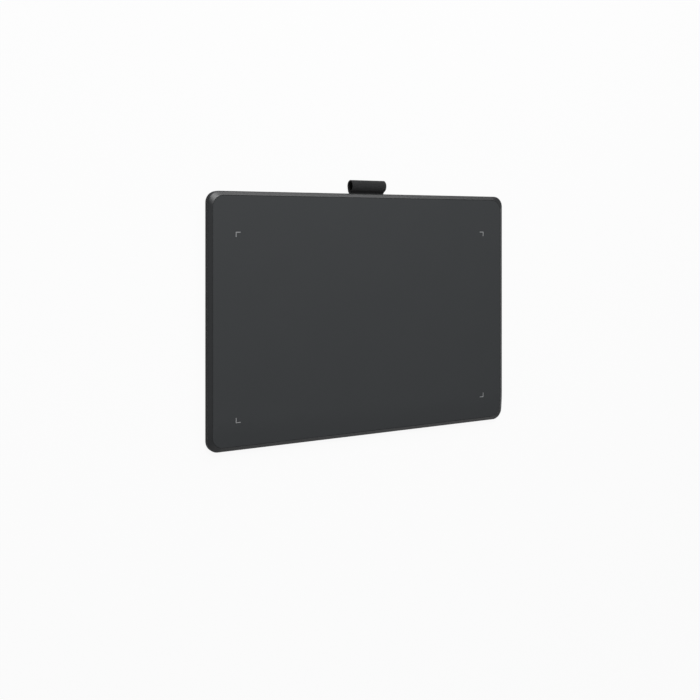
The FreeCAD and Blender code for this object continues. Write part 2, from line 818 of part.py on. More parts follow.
def make_screws(name, places, seat, shank, long, head, head_tall):
    """A set of like screws with the heads up on a seat."""
    body = new_body(name)
    pad(body, "shanks", "XY", f"{seat} - {long}", long, circles=at_places(places, shank))
    pad(body, "heads", "XY", seat, head_tall, circles=at_places(places, head))
    return body


def make_housing_screws():
    """The screws that hold the covers together from below, with crossed drive recesses."""
    body = new_body("housing_screws")
    low = "screw_seat - screw_head_tall"
    pad(body, "shanks", "XY", "screw_seat", "screw_long", circles=at_places(BOSSES, "screw_round"))
    pad(body, "heads", "XY", low, "screw_head_tall", circles=at_places(BOSSES, "screw_head"))
    bars = [about(x, y, "cross_long", "cross_thick") for x, y in BOSSES]
    pocket(body, "cross_bars", "XY", low, "cross_deep", bars)
    bars = [about(x, y, "cross_thick", "cross_long") for x, y in BOSSES]
    pocket(body, "cross_uprights", "XY", low, "cross_deep", bars)
    return body


def make_layer(name, x, y_front, y_rear, low, tall):
    """A flat sheet about the middle of the housing."""
    body = new_body(name)
    pad(body, "layer", "XY", low, tall, [box(f"-({x})", x, y_front, y_rear)])
    return body


def make_sensor_stack():
    """Bonding sheet, sensor board, shield plate and the board's chips, under the face."""
    bonding = make_layer("bonding_sheet", "sensor_x", "bend_rear", "sensor_rear", "sensor_top", "bond")
    board = make_layer("sensor_board", "sensor_x", "sensor_front", "sensor_rear", "sensor_low", "sensor")
    shield_front = "sensor_front + shield_inset"
    shield_x = "sensor_x - shield_inset"
    plate = make_layer("shield_plate", shield_x, shield_front, "shield_rear", "shield_low", "shield")
    chips = new_body("sensor_chips")
    outlines = [about(x, "sensor_rear - shield_short / 2", "chip_wide", "chip_deep") for x in CHIPS]
    pad(chips, "packages", "XY", "sensor_low - chip_tall", "chip_tall", outlines)
    return [bonding, board, plate, chips]


def make_control_board():
    """Narrow board along the rear edge, notched for the port, the switch and the loop's tail."""
    body = new_body("control_board")
    outline = box("-board_left", "board_right", "board_front", "board_rear")
    pad(body, "laminate", "XY", "board_low", "board", [outline])
    port_half = "(port_wide / 2 + switch_gap)"
    switch_half = "(switch_wide / 2 + switch_gap)"
    switch_front = "switch_rear - switch_deep - switch_gap"
    notches = [
        box(f"key_x - {switch_half}", f"key_x + {switch_half}", switch_front, "inner_y"),
        box("-(clamp_x + tail_clear)", "clamp_x + tail_clear", "tail_front - tail_clear", "inner_y"),
        box(f"port_x - {port_half}", f"port_x + {port_half}", "port_back - switch_gap", "inner_y"),
    ]
    pocket(body, "notches", "XY", "board_low", "board", notches)
    holes = at_places(BOARD_POSTS, "board_screw_round + screw_gap")
    pocket(body, "screw_holes", "XY", "board_low", "board", circles=holes)
    return body


def make_board_parts():
    """Processor, radio module, flat-cable socket and battery header on the control board."""
    processor = new_body("processor_chip")
    outline = about("processor_x", "plug_front + processor_wide / 2", "processor_wide", "processor_wide")
    pad(processor, "package", "XY", "board_top", "processor_tall", [outline])
    radio = new_body("radio_module")
    outline = about("radio_x", "plug_front + radio_deep / 2", "radio_wide", "radio_deep")
    pad(radio, "carrier", "XY", "board_top", "radio_board", [outline])
    can_wide, can_deep = "radio_wide - 2 * can_inset", "radio_deep - 2 * can_inset"
    can = about("radio_x", "plug_front + radio_deep / 2", can_wide, can_deep)
    pad(radio, "can", "XY", "board_top + radio_board", "radio_tall - radio_board", [can])
    socket = new_body("flex_socket")
    outline = about(
        "flex_x", "plug_front + socket_deep / 2", "flex_wide + 2 * socket_rim", "socket_deep"
    )
    pad(socket, "housing", "XY", "board_top", "socket_tall", [outline])
    header = new_body("battery_header")
    outline = about("lead_x", "header_front + header_deep / 2", "plug_wide + 2 * header_rim", "header_deep")
    pad(header, "housing", "XY", "board_top", "header_tall", [outline])
    return [processor, radio, socket, header]


def make_flex_cable():
    """Flat cable from the rear of the sensor board down to its socket."""
    body = new_body("flex_cable")
    lap, turn = "sensor_rear - flex_lap", "plug_front - flex_turn"
    level = "board_top + socket_tall / 2"
    corners = [
        (lap, "sensor_low"),
        (lap, "sensor_low - flex"),
        ("sensor_rear", "sensor_low - flex"),
        (turn, f"{level} - flex / 2"),
        ("plug_front", f"{level} - flex / 2"),
        ("plug_front", f"{level} + flex / 2"),
        (turn, f"{level} + flex / 2"),
        ("sensor_rear", "sensor_low"),
    ]
    pad(body, "strip", "YZ", "flex_x - flex_wide / 2", "flex_wide", [corners])
    return body


def make_battery():
    """Flat cell, its tape, its two-wire lead and the plug on the lead."""
    cell = new_body("battery_pack")
    half = "battery_wide / 2"
    outline = box(f"-{half}", half, "battery_front", "battery_rear")
    pad(cell, "pouch", "XY", "battery_low", "battery_tall", [outline])
    chamfer(cell, "soft_edges", lambda point, way: abs(way.z) < 0.01, "battery_edge", "battery_edge")
    tape = make_layer(
        "battery_tape",
        f"{half} - tape_inset",
        "battery_front + tape_inset",
        "battery_rear - tape_inset",
        "floor_top",
        "battery_tape",
    )
    lead = new_body("battery_lead")
    for number, side in enumerate(("-", "+"), start=1):
        wire_x = f"lead_x {side} lead_pitch / 2"
        path = place_sketch(lead, f"route_{number}", "YZ", wire_x)
        route = [
            ("battery_rear", "lead_low"),
            ("lead_arc_start", "lead_low", "lead_bend"),
            ("lead_arc_start + lead_arc_run", "lead_low + lead_arc_rise"),
            ("lead_arc_end - lead_arc_run", "lead_high - lead_arc_rise", "-lead_bend"),
            ("lead_arc_end", "lead_high"),
            ("plug_front", "lead_high"),
        ]
        draw(path, route, closed=False)
        section = place_sketch(lead, f"wire_section_{number}", "XZ", "battery_rear")
        draw(section, eight_sided(wire_x, "lead_low", "lead_round"))
        wire = lead.newObject("PartDesign::AdditivePipe", f"wire_{number}")
        wire.Profile = section
        wire.Spine = path
    plug = new_body("battery_plug")
    outline = about("lead_x", "plug_front + plug_deep / 2", "plug_wide", "plug_deep")
    pad(plug, "housing", "XY", "board_top", "plug_tall", [outline])
    return [cell, tape, lead, plug]


def make_charging_port():
    """Mid-mounted charging socket: drawn steel shell with ears, and its contact blade."""
    shell = new_body("port_shell")
    outer = slot("port_x", "port_level", "port_wide", "port_tall")
    pad(shell, "sleeve", "XZ", "port_back", "port_deep", [outer])
    ears = []
    for side in ("-", "+"):
        near = f"port_x {side} (port_wide / 2 - port_skin)"
        far = f"port_x {side} (port_wide / 2 + port_ear)"
        ears.append(box(near, far, "port_back + port_ear_in", "port_back + port_ear_in + port_ear_deep"))
    pad(shell, "ears", "XY", "board_top", "port_skin", ears)
    inner = slot("port_x", "port_level", "port_wide - 2 * port_skin", "port_tall - 2 * port_skin")
    pocket(shell, "mouth", "XZ", "port_back + port_skin", "port_deep", [inner])
    blade = new_body("port_blade")
    pad(blade, "moulding", "XZ", "port_back + port_skin", "port_base", [inner])
    tongue = about("port_x", "port_level", "port_blade_wide", "port_blade")
    length = "port_deep - port_skin - port_blade_sunk"
    pad(blade, "tongue", "XZ", "port_back + port_skin", length, [tongue])
    return [shell, blade]


def make_power_key():
    """Power key with its retaining flange and nib, the switch behind it, and its plunger."""
    key = new_body("power_key")
    flange = about(
        "key_x", "port_level", "(key_wide + 2 * key_flange_wider)", "(key_tall + 2 * key_flange_taller)"
    )
    pad(key, "flange", "XZ", "flange_front", "key_flange", [flange])
    cap = slot("key_x", "port_level", "key_wide", "key_tall")
    pad(key, "cap", "XZ", "flange_front", "half_deep + key_proud - flange_front", [cap])
    crown = value("half_deep + key_proud")
    chamfer(key, "crown", lambda point, way: abs(point.y - crown) < 1e-4, "key_edge", "key_edge")
    nib = about("key_x", "port_level", "plunger_wide", "plunger_tall")
    pad(key, "nib", "XZ", "nib_end", "key_nib", [nib])

    switch = new_body("power_switch")
    case = about("key_x", "port_level", "switch_wide", "switch_tall")
    pad(switch, "case", "XZ", "switch_rear - switch_deep", "switch_deep", [case])
    ears = about(
        "key_x", "switch_rear - switch_deep / 2", "(switch_wide + 2 * switch_ear)", "switch_deep / 2"
    )
    pad(switch, "ears", "XY", "board_top", "port_skin", [ears])
    guide = about(
        "key_x", "port_level", "(plunger_wide + 2 * plunger_gap)", "(plunger_tall + 2 * plunger_gap)"
    )
    depth = "(plunger_in + press_travel + plunger_gap)"
    pocket(switch, "guide", "XZ", f"switch_rear - {depth}", depth, [guide])

    plunger = new_body("switch_plunger")
    pad(plunger, "bar", "XZ", "switch_rear - plunger_in", "nib_end - switch_rear + plunger_in", [nib])
    return [key, switch, plunger]


def make_status_light():
    """Side-firing light on the board and the clear pipe that takes it through the wall."""
    lamp = new_body("status_lamp")
    outline = about("light_x", "board_rear - light_gap - led_deep / 2", "led_wide", "led_deep")
    pad(lamp, "package", "XY", "board_top", "led_tall", [outline])
    pipe = new_body("light_pipe")
    half = "light_block_wide / 2"
    block = box(
        f"light_x - {half}",
        f"light_x + {half}",
        "port_level - light_block_low",
        "port_level + light_block_high",
    )
    start = "board_rear + light_gap"
    pad(pipe, "block", "XZ", start, f"inner_y - {start.replace('+', '-')}", [block])
    section = [("light_x", "port_level", "light_round")]
    pad(pipe, "rod", "XZ", start, f"half_deep - ({start})", circles=section)
    return [lamp, pipe]


def make_pen_loop():
    """Woven loop for the pen: the free loop, its tail in the housing and the clamp on it."""
    loop = new_body("pen_loop")
    high, low = "neck_level + band", "neck_level - band"
    outline = [
        ("neck_end", high),
        ("loop_y - loop_round * sin(lean_high)", "loop_level + loop_round * cos(lean_high)", "-loop_round"),
        ("loop_y", "loop_level + loop_round", "-loop_round"),
        ("loop_y + loop_round", "loop_level", "-loop_round"),
        ("loop_y", "loop_level - loop_round", "-loop_round"),
        ("loop_y - loop_round * sin(lean_low)", "loop_level - loop_round * cos(lean_low)"),
        ("neck_end", low, "-band"),
        ("neck_end - band", "neck_level", "-band"),
    ]
    pad(loop, "band_loop", "YZ", "-loop_wide / 2", "loop_wide", [outline])
    hollow = ("loop_y", "loop_level", "loop_round - band")
    pocket(loop, "pen_space", "YZ", "-loop_wide / 2", "loop_wide", circles=[hollow])

    tail = new_body("pen_loop_tail")
    strip = box("-loop_wide / 2", "loop_wide / 2", "tail_front", "half_deep")
    pad(tail, "folded_band", "XY", "neck_level - band", "2 * band", [strip])

    bar = new_body("loop_clamp_bar")
    outline = box("-clamp_x", "clamp_x", "clamp_front", "clamp_rear")
    pad(bar, "strap", "XY", "clamp_low", "clamp_thick", [outline])
    holes = at_places(CLAMP_POSTS, "clamp_screw_round + screw_gap")
    pocket(bar, "holes", "XY", "clamp_low", "clamp_thick", circles=holes)
    heads = at_places(CLAMP_POSTS, "clamp_screw_head + screw_gap")
    pocket(bar, "head_recesses", "XY", "clamp_low + clamp_thick / 2", "clamp_thick / 2", circles=heads)
    return [loop, tail, bar]


def make_all():
    """Every sub-part of the tablet."""
    bodies = [make_front_cover(), make_drawing_sheet(), make_bottom_cover()]
    for name, place in FEET.items():
        bodies.append(make_foot(f"foot_{name}", place))
    bodies.append(make_housing_screws())
    bodies += make_sensor_stack()
    bodies.append(make_control_board())
    bodies.append(
        make_screws(
            "board_screws",
            BOARD_POSTS,
            "board_top",
            "board_screw_round",
            "board_screw_long",
            "board_screw_head",
            "board_screw_head_tall",
        )
    )
    bodies += make_board_parts()
    bodies.append(make_flex_cable())
    bodies += make_battery()
    bodies += make_charging_port()
    bodies += make_power_key()
    bodies += make_status_light()
    bodies += make_pen_loop()
    bodies.append(
        make_screws(
            "clamp_screws",
            CLAMP_POSTS,
            "(clamp_low + clamp_thick / 2)",
            "clamp_screw_round",
            "(clamp_screw_long - clamp_thick / 2)",
            "clamp_screw_head",
            "(clamp_thick / 2)",
        )
    )
    return bodies


def check(bodies):
    """Stop if an object failed, a pocket removed nothing or a sub-part has no sound solid."""
    for item in doc.Objects:
        if {"Invalid", "Error"} & set(item.State):
            raise RuntimeError(f"{item.Label}: {item.State}")
        if item.TypeId == "PartDesign::Pocket":
            if item.Shape.Volume > item.BaseFeature.Shape.Volume - 1e-6:
                raise RuntimeError(f"{item.Label} cuts nothing")
    for body in bodies:
        if body.Shape.isNull() or not body.Shape.isValid() or body.Shape.Volume <= 0:
            raise RuntimeError(f"{body.Label}: no sound shape")


parts = make_all()
for part in parts:
    part.Tip.Refine = True
doc.recompute()
check(parts)
os.makedirs("parts", exist_ok=True)
for part in parts:
    part.Shape.exportStep(os.path.join("parts", f"{part.Label}.step"))
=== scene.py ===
import logging
import math
from dataclasses import dataclass, field
from enum import Enum
from typing import Callable, ClassVar, Iterable

import bmesh
import bpy
from mathutils import Matrix, Vector


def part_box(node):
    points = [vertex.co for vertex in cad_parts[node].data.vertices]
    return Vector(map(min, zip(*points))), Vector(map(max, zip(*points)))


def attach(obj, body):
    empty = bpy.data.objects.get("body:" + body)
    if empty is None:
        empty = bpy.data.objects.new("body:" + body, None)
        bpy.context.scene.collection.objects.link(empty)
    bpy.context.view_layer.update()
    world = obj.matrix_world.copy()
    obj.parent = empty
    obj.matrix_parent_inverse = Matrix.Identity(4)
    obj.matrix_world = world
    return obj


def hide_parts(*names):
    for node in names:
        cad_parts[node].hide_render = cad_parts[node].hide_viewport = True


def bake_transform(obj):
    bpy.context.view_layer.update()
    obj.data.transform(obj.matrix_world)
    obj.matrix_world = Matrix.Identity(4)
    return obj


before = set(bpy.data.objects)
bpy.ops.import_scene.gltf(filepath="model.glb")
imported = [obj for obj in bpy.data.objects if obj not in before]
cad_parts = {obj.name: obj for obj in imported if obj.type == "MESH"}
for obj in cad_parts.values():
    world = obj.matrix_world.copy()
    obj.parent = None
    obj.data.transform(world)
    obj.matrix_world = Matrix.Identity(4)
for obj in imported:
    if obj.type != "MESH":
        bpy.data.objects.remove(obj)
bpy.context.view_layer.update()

logging.basicConfig(level=logging.INFO, format="%(message)s")
log = logging.getLogger("tablet")

MM = 0.001
BODY_SHIFT_Y = -5.25
FACE_LEVEL = 8.8
TINY = 1e-4

# What the shared shader groups hold: shares of one effect in another, and sizes in metres.
PIT_SHARE = 0.7
LINE_STRETCH = 0.05
METAL_CLOUDS = 0.004
FUZZ_SIZE = 0.00012
FUZZ_SHARE = 0.2
FINE_GRAIN = 0.0004

Colour = tuple[float, float, float]
EdgeTest = Callable[[bmesh.types.BMEdge], bool]


class Body(Enum):
    """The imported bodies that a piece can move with."""

    HOUSING = "housing"
    KEY = "power_key"
    LOOP = "pen_loop"


class Side(Enum):
    """The two ends of the tablet's long side, seen from the front edge."""

    LEFT = -1
    RIGHT = 1


# Shader building


class Net:
    """Adds nodes to a shader tree and joins them."""

    def __init__(self, tree: bpy.types.NodeTree) -> None:
        """Keep the tree.

        Args:
            tree: The tree that new nodes go into.
        """
        self.tree = tree

    def add(self, kind: str, **settings: object) -> bpy.types.Node:
        """Add a node.

        Args:
            kind: The node's type, such as ShaderNodeMath.
            **settings: Its properties by name.

        Returns:
            The new node.
        """
        node = self.tree.nodes.new(kind)
        for name, value in settings.items():
            setattr(node, name, value)
        return node

    def join(self, source: bpy.types.NodeSocket, target: bpy.types.NodeSocket) -> None:
        """Link one socket to another.

        Args:
            source: The output.
            target: The input.
        """
        self.tree.links.new(source, target)

    def feed(self, target: bpy.types.NodeSocket, value: object) -> None:
        """Give an input either a link or a plain value.

        Args:
            target: The input.
            value: An output socket, or a number or colour.
        """
        if isinstance(value, bpy.types.NodeSocket):
            self.join(value, target)
        else:
            target.default_value = value

    def maths(self, operation: str, first: object, second: object = 0.0) -> bpy.types.NodeSocket:
        """Add a Math node.

        Args:
            operation: The node's operation.
            first: Its first value or socket.
            second: Its second value or socket.

        Returns:
            The result's socket.
        """
        node = self.add("ShaderNodeMath", operation=operation)
        self.feed(node.inputs[0], first)
        self.feed(node.inputs[1], second)
        return node.outputs[0]

    def blend(self, share: object, first: object, second: object) -> bpy.types.NodeSocket:
        """Mix two colours.

        Args:
            share: The second colour's share, 0 to 1.
            first: A colour or socket.
            second: A colour or socket.

        Returns:
            The mixed colour's socket.
        """
        # A Mix node set to colours takes them at its sockets 6 and 7, and gives the result at 2.
        node = self.add("ShaderNodeMix", data_type="RGBA")
        self.feed(node.inputs[0], share)
        self.feed(node.inputs[6], first)
        self.feed(node.inputs[7], second)
        return node.outputs[2]

    def ranged(self, value: object, low: float, high: float) -> bpy.types.NodeSocket:
        """Spread a value from 0..1 over a new range.

        Args:
            value: The value or socket.
            low: The result at 0.
            high: The result at 1.

        Returns:
            The result's socket.
        """
        node = self.add("ShaderNodeMapRange")
        self.feed(node.inputs["Value"], value)
        node.inputs["To Min"].default_value = low
        node.inputs["To Max"].default_value = high
        return node.outputs[0]


def shader_group(
    name: str, inputs: dict[str, float], outputs: Iterable[str]
) -> tuple[bpy.types.NodeTree, Net]:
    """Start a shader node group that has only number sockets.

    Args:
        name: The group's name.
        inputs: Each input's name and default.
        outputs: The outputs' names.

    Returns:
        The group and a net over it.
    """
    tree = bpy.data.node_groups.new(name, "ShaderNodeTree")
    for label, default in inputs.items():
        socket = tree.interface.new_socket(label, in_out="INPUT", socket_type="NodeSocketFloat")
        socket.default_value = default
    for label in outputs:
        tree.interface.new_socket(label, in_out="OUTPUT", socket_type="NodeSocketFloat")
    return tree, Net(tree)


def object_point(net: Net) -> bpy.types.NodeSocket:
    """The shaded point in the piece's own space, which is the row frame."""
    return net.add("ShaderNodeTexCoord").outputs["Object"]


def noise(net: Net, size: object, detail: float, point: bpy.types.NodeSocket) -> bpy.types.NodeSocket:
    """Add a noise whose blotches have a real size.

    Args:
        net: The net to add to.
        size: The blotches' size in metres, a number or socket.
        detail: How many octaves it has.
        point: The coordinate it follows.

    Returns:
        The noise's value socket.
    """
    node = net.add("ShaderNodeTexNoise")
    net.feed(node.inputs["Vector"], point)
    scale = 1.0 / size if isinstance(size, float) else net.maths("DIVIDE", 1.0, size)
    net.feed(node.inputs["Scale"], scale)
    node.inputs["Detail"].default_value = detail
    return node.outputs[0]


def build_grain_group() -> bpy.types.NodeTree:
    """Spark-eroded grain of moulded plastic, with faint clouds of gloss.

    Returns:
        A group with Height, Shade and Gloss outputs, all from 0 to 1.
    """
    tree, net = shader_group(
        "mould_grain", {"Grain": 0.0003, "Clouds": 0.03}, ("Height", "Shade", "Gloss")
    )
    asked = net.add("NodeGroupInput")
    given = net.add("NodeGroupOutput")
    point = object_point(net)
    grain = noise(net, asked.outputs["Grain"], 2.0, point)
    pits = net.add("ShaderNodeTexVoronoi", feature="SMOOTH_F1")
    net.join(point, pits.inputs["Vector"])
    net.join(net.maths("DIVIDE", PIT_SHARE, asked.outputs["Grain"]), pits.inputs["Scale"])
    net.join(net.maths("MULTIPLY", net.maths("ADD", grain, pits.outputs[0]), 0.5), given.inputs["Height"])
    clouds = noise(net, asked.outputs["Clouds"], 3.0, point)
    net.join(net.maths("MULTIPLY", net.maths("ADD", clouds, grain), 0.5), given.inputs["Shade"])
    net.join(clouds, given.inputs["Gloss"])
    return tree


def build_brush_group() -> bpy.types.NodeTree:
    """Drawn or stamped metal: long fine lines along X with small pits.

    Returns:
        A group with Height and Gloss outputs from 0 to 1.
    """
    tree, net = shader_group("drawn_metal", {"Line": 0.0002}, ("Height", "Gloss"))
    asked = net.add("NodeGroupInput")
    given = net.add("NodeGroupOutput")
    stretch = net.add("ShaderNodeMapping")
    stretch.inputs["Scale"].default_value = (LINE_STRETCH, 1.0, 1.0)
    net.join(object_point(net), stretch.inputs["Vector"])
    lines = noise(net, asked.outputs["Line"], 2.0, stretch.outputs[0])
    clouds = noise(net, METAL_CLOUDS, 2.0, object_point(net))
    net.join(lines, given.inputs["Height"])
    net.join(net.maths("MULTIPLY", net.maths("ADD", lines, clouds), 0.5), given.inputs["Gloss"])
    return tree


def build_weave_group() -> bpy.types.NodeTree:
    """Plain weave on a tape's own UV map, whose U runs along the tape and V across, in metres.

    Returns:
        A group with Height, Shade and Fuzz outputs from 0 to 1; Shade is the yarns' height used as painted
        shade, darker in the dips between yarns, half mixed with the fuzz's random tone.
    """
    tree, net = shader_group("tape_weave", {"Along": 0.0009, "Across": 0.0006}, ("Height", "Shade", "Fuzz"))
    asked = net.add("NodeGroupInput")
    given = net.add("NodeGroupOutput")
    split = net.add("ShaderNodeSeparateXYZ")
    net.join(net.add("ShaderNodeUVMap", uv_map="weave").outputs[0], split.inputs[0])

    def wave(axis: str, pitch: str) -> bpy.types.NodeSocket:
        """A sine along one axis that changes sign from each yarn to the next.

        Args:
            axis: The UV map's axis.
            pitch: The group's input that holds the yarns' pitch.

        Returns:
            The sine's socket.
        """
        yarns = net.maths("DIVIDE", split.outputs[axis], asked.outputs[pitch])
        return net.maths("SINE", net.maths("MULTIPLY", yarns, math.pi))

    row, column = wave("X", "Along"), wave("Y", "Across")
    over = net.maths("GREATER_THAN", net.maths("MULTIPLY", row, column), 0.0)
    warp = net.maths("MULTIPLY", net.maths("ABSOLUTE", column), over)
    weft = net.maths("MULTIPLY", net.maths("ABSOLUTE", row), net.maths("SUBTRACT", 1.0, over))
    yarn = net.maths("ADD", warp, weft)
    fuzz = noise(net, FUZZ_SIZE, 3.0, object_point(net))
    plain = net.maths("MULTIPLY", yarn, 1.0 - FUZZ_SHARE)
    net.join(net.maths("ADD", plain, net.maths("MULTIPLY", fuzz, FUZZ_SHARE)), given.inputs["Height"])
    # Painted shade: the colour follows the yarns' height, darker in the dips between yarns, half mixed with
    # random fuzz.
    net.join(net.maths("MULTIPLY", net.maths("ADD", yarn, fuzz), 0.5), given.inputs["Shade"])
    net.join(fuzz, given.inputs["Fuzz"])
    return tree


class Effects:
    """The shader groups that several finishes share, each built once."""

    _made: dict[str, bpy.types.NodeTree] = {}
    _builders: dict[str, Callable[[], bpy.types.NodeTree]] = {
        "grain": build_grain_group,
        "brush": build_brush_group,
        "weave": build_weave_group,
    }

    @classmethod
    def place(cls, net: Net, name: str, **values: float) -> bpy.types.Node:
        """Place a shared group in a material.

        Args:
            net: The material's net.
            name: grain, brush or weave.
            **values: The group's inputs by name.

        Returns:
            The group node.
        """
        if name not in cls._made:
            cls._made[name] = cls._builders[name]()
        node = net.add("ShaderNodeGroup")
        node.node_tree = cls._made[name]
        for label, value in values.items():
            node.inputs[label].default_value = value
        return node


# Finishes


@dataclass(frozen=True)
class Finish:
    """What every finish has: a name, a main colour and a gloss.

    Attributes:
        name: The material's name.
        colour: Its main colour, linear.
        rough: Its mean roughness.
        specular: The shader's specular level.
    """

    made: ClassVar[dict[str, bpy.types.Material]] = {}

    name: str
    colour: Colour
    rough: float = 0.5
    specular: float = 0.5

    def start(self) -> tuple[bpy.types.Material, Net, bpy.types.Node]:
        """Make the bare material.

        Returns:
            The material, a net over it and its Principled shader.
        """
        material = bpy.data.materials.new(self.name)
        material.use_nodes = True
        net = Net(material.node_tree)
        shader = next(node for node in material.node_tree.nodes if node.type == "BSDF_PRINCIPLED")
        shader.inputs["Base Color"].default_value = (*self.colour, 1.0)
        shader.inputs["Roughness"].default_value = self.rough
        shader.inputs["Specular IOR Level"].default_value = self.specular
        material.diffuse_color = (*self.colour, 1.0)
        return material, net, shader

    def shades(self, change: float) -> tuple[tuple[float, ...], tuple[float, ...]]:
        """A darker and a lighter form of the main colour.

        Args:
            change: How far each goes from it, as a share.

        Returns:
            The two colours with alpha.
        """
        dark = tuple(part * (1.0 - change) for part in self.colour)
        light = tuple(part * (1.0 + change) for part in self.colour)
        return (*dark, 1.0), (*light, 1.0)

    def bump(self, net: Net, shader: bpy.types.Node, height: bpy.types.NodeSocket, depth: float) -> None:
        """Drive the shader's normal from a height.

        Args:
            net: The material's net.
            shader: Its Principled shader.
            height: The height's socket, 0 to 1.
            depth: How deep a full step is, in metres.
        """
        node = net.add("ShaderNodeBump")
        node.inputs["Distance"].default_value = depth
        net.join(height, node.inputs["Height"])
        net.join(node.outputs[0], shader.inputs["Normal"])

    def vary_gloss(
        self, net: Net, shader: bpy.types.Node, drive: bpy.types.NodeSocket, less: float, more: float
    ) -> None:
        """Let the roughness drift round its mean.

        Args:
            net: The material's net.
            shader: Its Principled shader.
            drive: The socket that it follows, 0 to 1.
            less: How far it goes below its mean.
            more: How far it goes above.
        """
        net.join(net.ranged(drive, self.rough - less, self.rough + more), shader.inputs["Roughness"])

    def material(self) -> bpy.types.Material:
        """The finished material, made once and then kept under its name.

        Returns:
            The material.
        """
        if self.name not in self.made:
            self.made[self.name] = self.dress()
        return self.made[self.name]

    def dress(self) -> bpy.types.Material:
        """Build the nodes; each kind of finish does this in its own way."""
        return self.start()[0]


@dataclass(frozen=True)
class Moulded(Finish):
    """Moulded plastic, rubber or resin with a fine grain.

    Attributes:
        grain: The grain's size in metres.
        depth: Its depth in metres.
        drift: How far the colour drifts, as a share.
        gloss_drift: How far the roughness drifts.
        glow: How much light the surface gives off, for a lamp's window.
    """

    grain: float = 0.0003
    depth: float = 0.00001
    drift: float = 0.05
    gloss_drift: float = 0.05
    glow: float = 0.0

    def dress(self) -> bpy.types.Material:
        """Build the grained material.

        Returns:
            The material.
        """
        material, net, shader = self.start()
        grain = Effects.place(net, "grain", Grain=self.grain)
        dark, light = self.shades(self.drift)
        net.join(net.blend(grain.outputs["Shade"], dark, light), shader.inputs["Base Color"])
        self.vary_gloss(net, shader, grain.outputs["Gloss"], self.gloss_drift, self.gloss_drift)
        self.bump(net, shader, grain.outputs["Height"], self.depth)
        if self.glow:
            shader.inputs["Emission Color"].default_value = (*self.colour, 1.0)
            shader.inputs["Emission Strength"].default_value = self.glow
        return material


@dataclass(frozen=True)
class Metal(Finish):
    """Stamped, drawn or plated metal.

    Attributes:
        line: The width of its drawing lines in metres.
        depth: Their depth in metres.
        drift: How far the colour drifts, as a share.
        duller: How far the roughness goes above its mean.
        glossier: How far it goes below.
    """

    line: float = 0.0002
    depth: float = 0.000004
    drift: float = 0.12
    duller: float = 0.1
    glossier: float = 0.08

    def dress(self) -> bpy.types.Material:
        """Build the metal.

        Returns:
            The material.
        """
        material, net, shader = self.start()
        shader.inputs["Metallic"].default_value = 1.0
        brush = Effects.place(net, "brush", Line=self.line)
        dark, light = self.shades(self.drift)
        net.join(net.blend(brush.outputs["Gloss"], dark, light), shader.inputs["Base Color"])
        self.vary_gloss(net, shader, brush.outputs["Gloss"], self.glossier, self.duller)
        self.bump(net, shader, brush.outputs["Height"], self.depth)
        return material


@dataclass(frozen=True)
class Woven(Finish):
    """Woven tape of matt yarn.

    Attributes:
        along: The yarns' pitch along the tape in metres.
        across: The yarns' pitch across the tape in metres.
        depth: The weave's depth in metres.
        drift: How far the colour drifts between yarn and gap, as a share; the darker gaps are painted
            shade.
        gloss_drift: How far the roughness drifts.
        sheen: How much the yarn's fuzz shines at a glance.
        sheen_rough: That shine's roughness.
    """

    along: float = 0.0009
    across: float = 0.0005
    depth: float = 0.00016
    drift: float = 0.55
    gloss_drift: float = 0.08
    sheen: float = 0.08
    sheen_rough: float = 0.45

    def dress(self) -> bpy.types.Material:
        """Build the fabric.

        Returns:
            The material.
        """
        material, net, shader = self.start()
        weave = Effects.place(net, "weave", Along=self.along, Across=self.across)
        dark, light = self.shades(self.drift)
        # The weave's Shade output paints shade into the base colour: dark in the gaps between yarns, light
        # on their crests.
        net.join(net.blend(weave.outputs["Shade"], dark, light), shader.inputs["Base Color"])
        self.vary_gloss(net, shader, weave.outputs["Fuzz"], self.gloss_drift, self.gloss_drift)
        shader.inputs["Sheen Weight"].default_value = self.sheen
        shader.inputs["Sheen Roughness"].default_value = self.sheen_rough
        self.bump(net, shader, weave.outputs["Height"], self.depth)
        return material


@dataclass(frozen=True)
class Laminate(Finish):
    """Circuit board: solder mask over copper tracks that show as faint lighter lines.

    Attributes:
        track: The tracks' colour under the mask, linear.
        pitch: The tracks' pitch in metres.
        track_share: A track's width, as a share of the pitch.
        step: How far a track stands up, in metres.
        gloss_drift: How far the roughness drifts.
    """

    track: Colour = (0.03, 0.16, 0.07)
    pitch: float = 0.0024
    track_share: float = 0.07
    step: float = 0.00003
    gloss_drift: float = 0.06

    def dress(self) -> bpy.types.Material:
        """Build the laminate.

        Returns:
            The material.
        """
        material, net, shader = self.start()
        cells = net.add("ShaderNodeTexBrick")
        net.join(object_point(net), cells.inputs["Vector"])
        cells.inputs["Scale"].default_value = 1.0 / self.pitch
        cells.inputs["Mortar Size"].default_value = self.track_share
        lines = cells.outputs["Fac"]
        net.join(net.blend(lines, (*self.colour, 1.0), (*self.track, 1.0)), shader.inputs["Base Color"])
        grain = Effects.place(net, "grain", Grain=FINE_GRAIN)
        self.vary_gloss(net, shader, grain.outputs["Gloss"], self.gloss_drift, self.gloss_drift)
        self.bump(net, shader, lines, self.step)
        return material


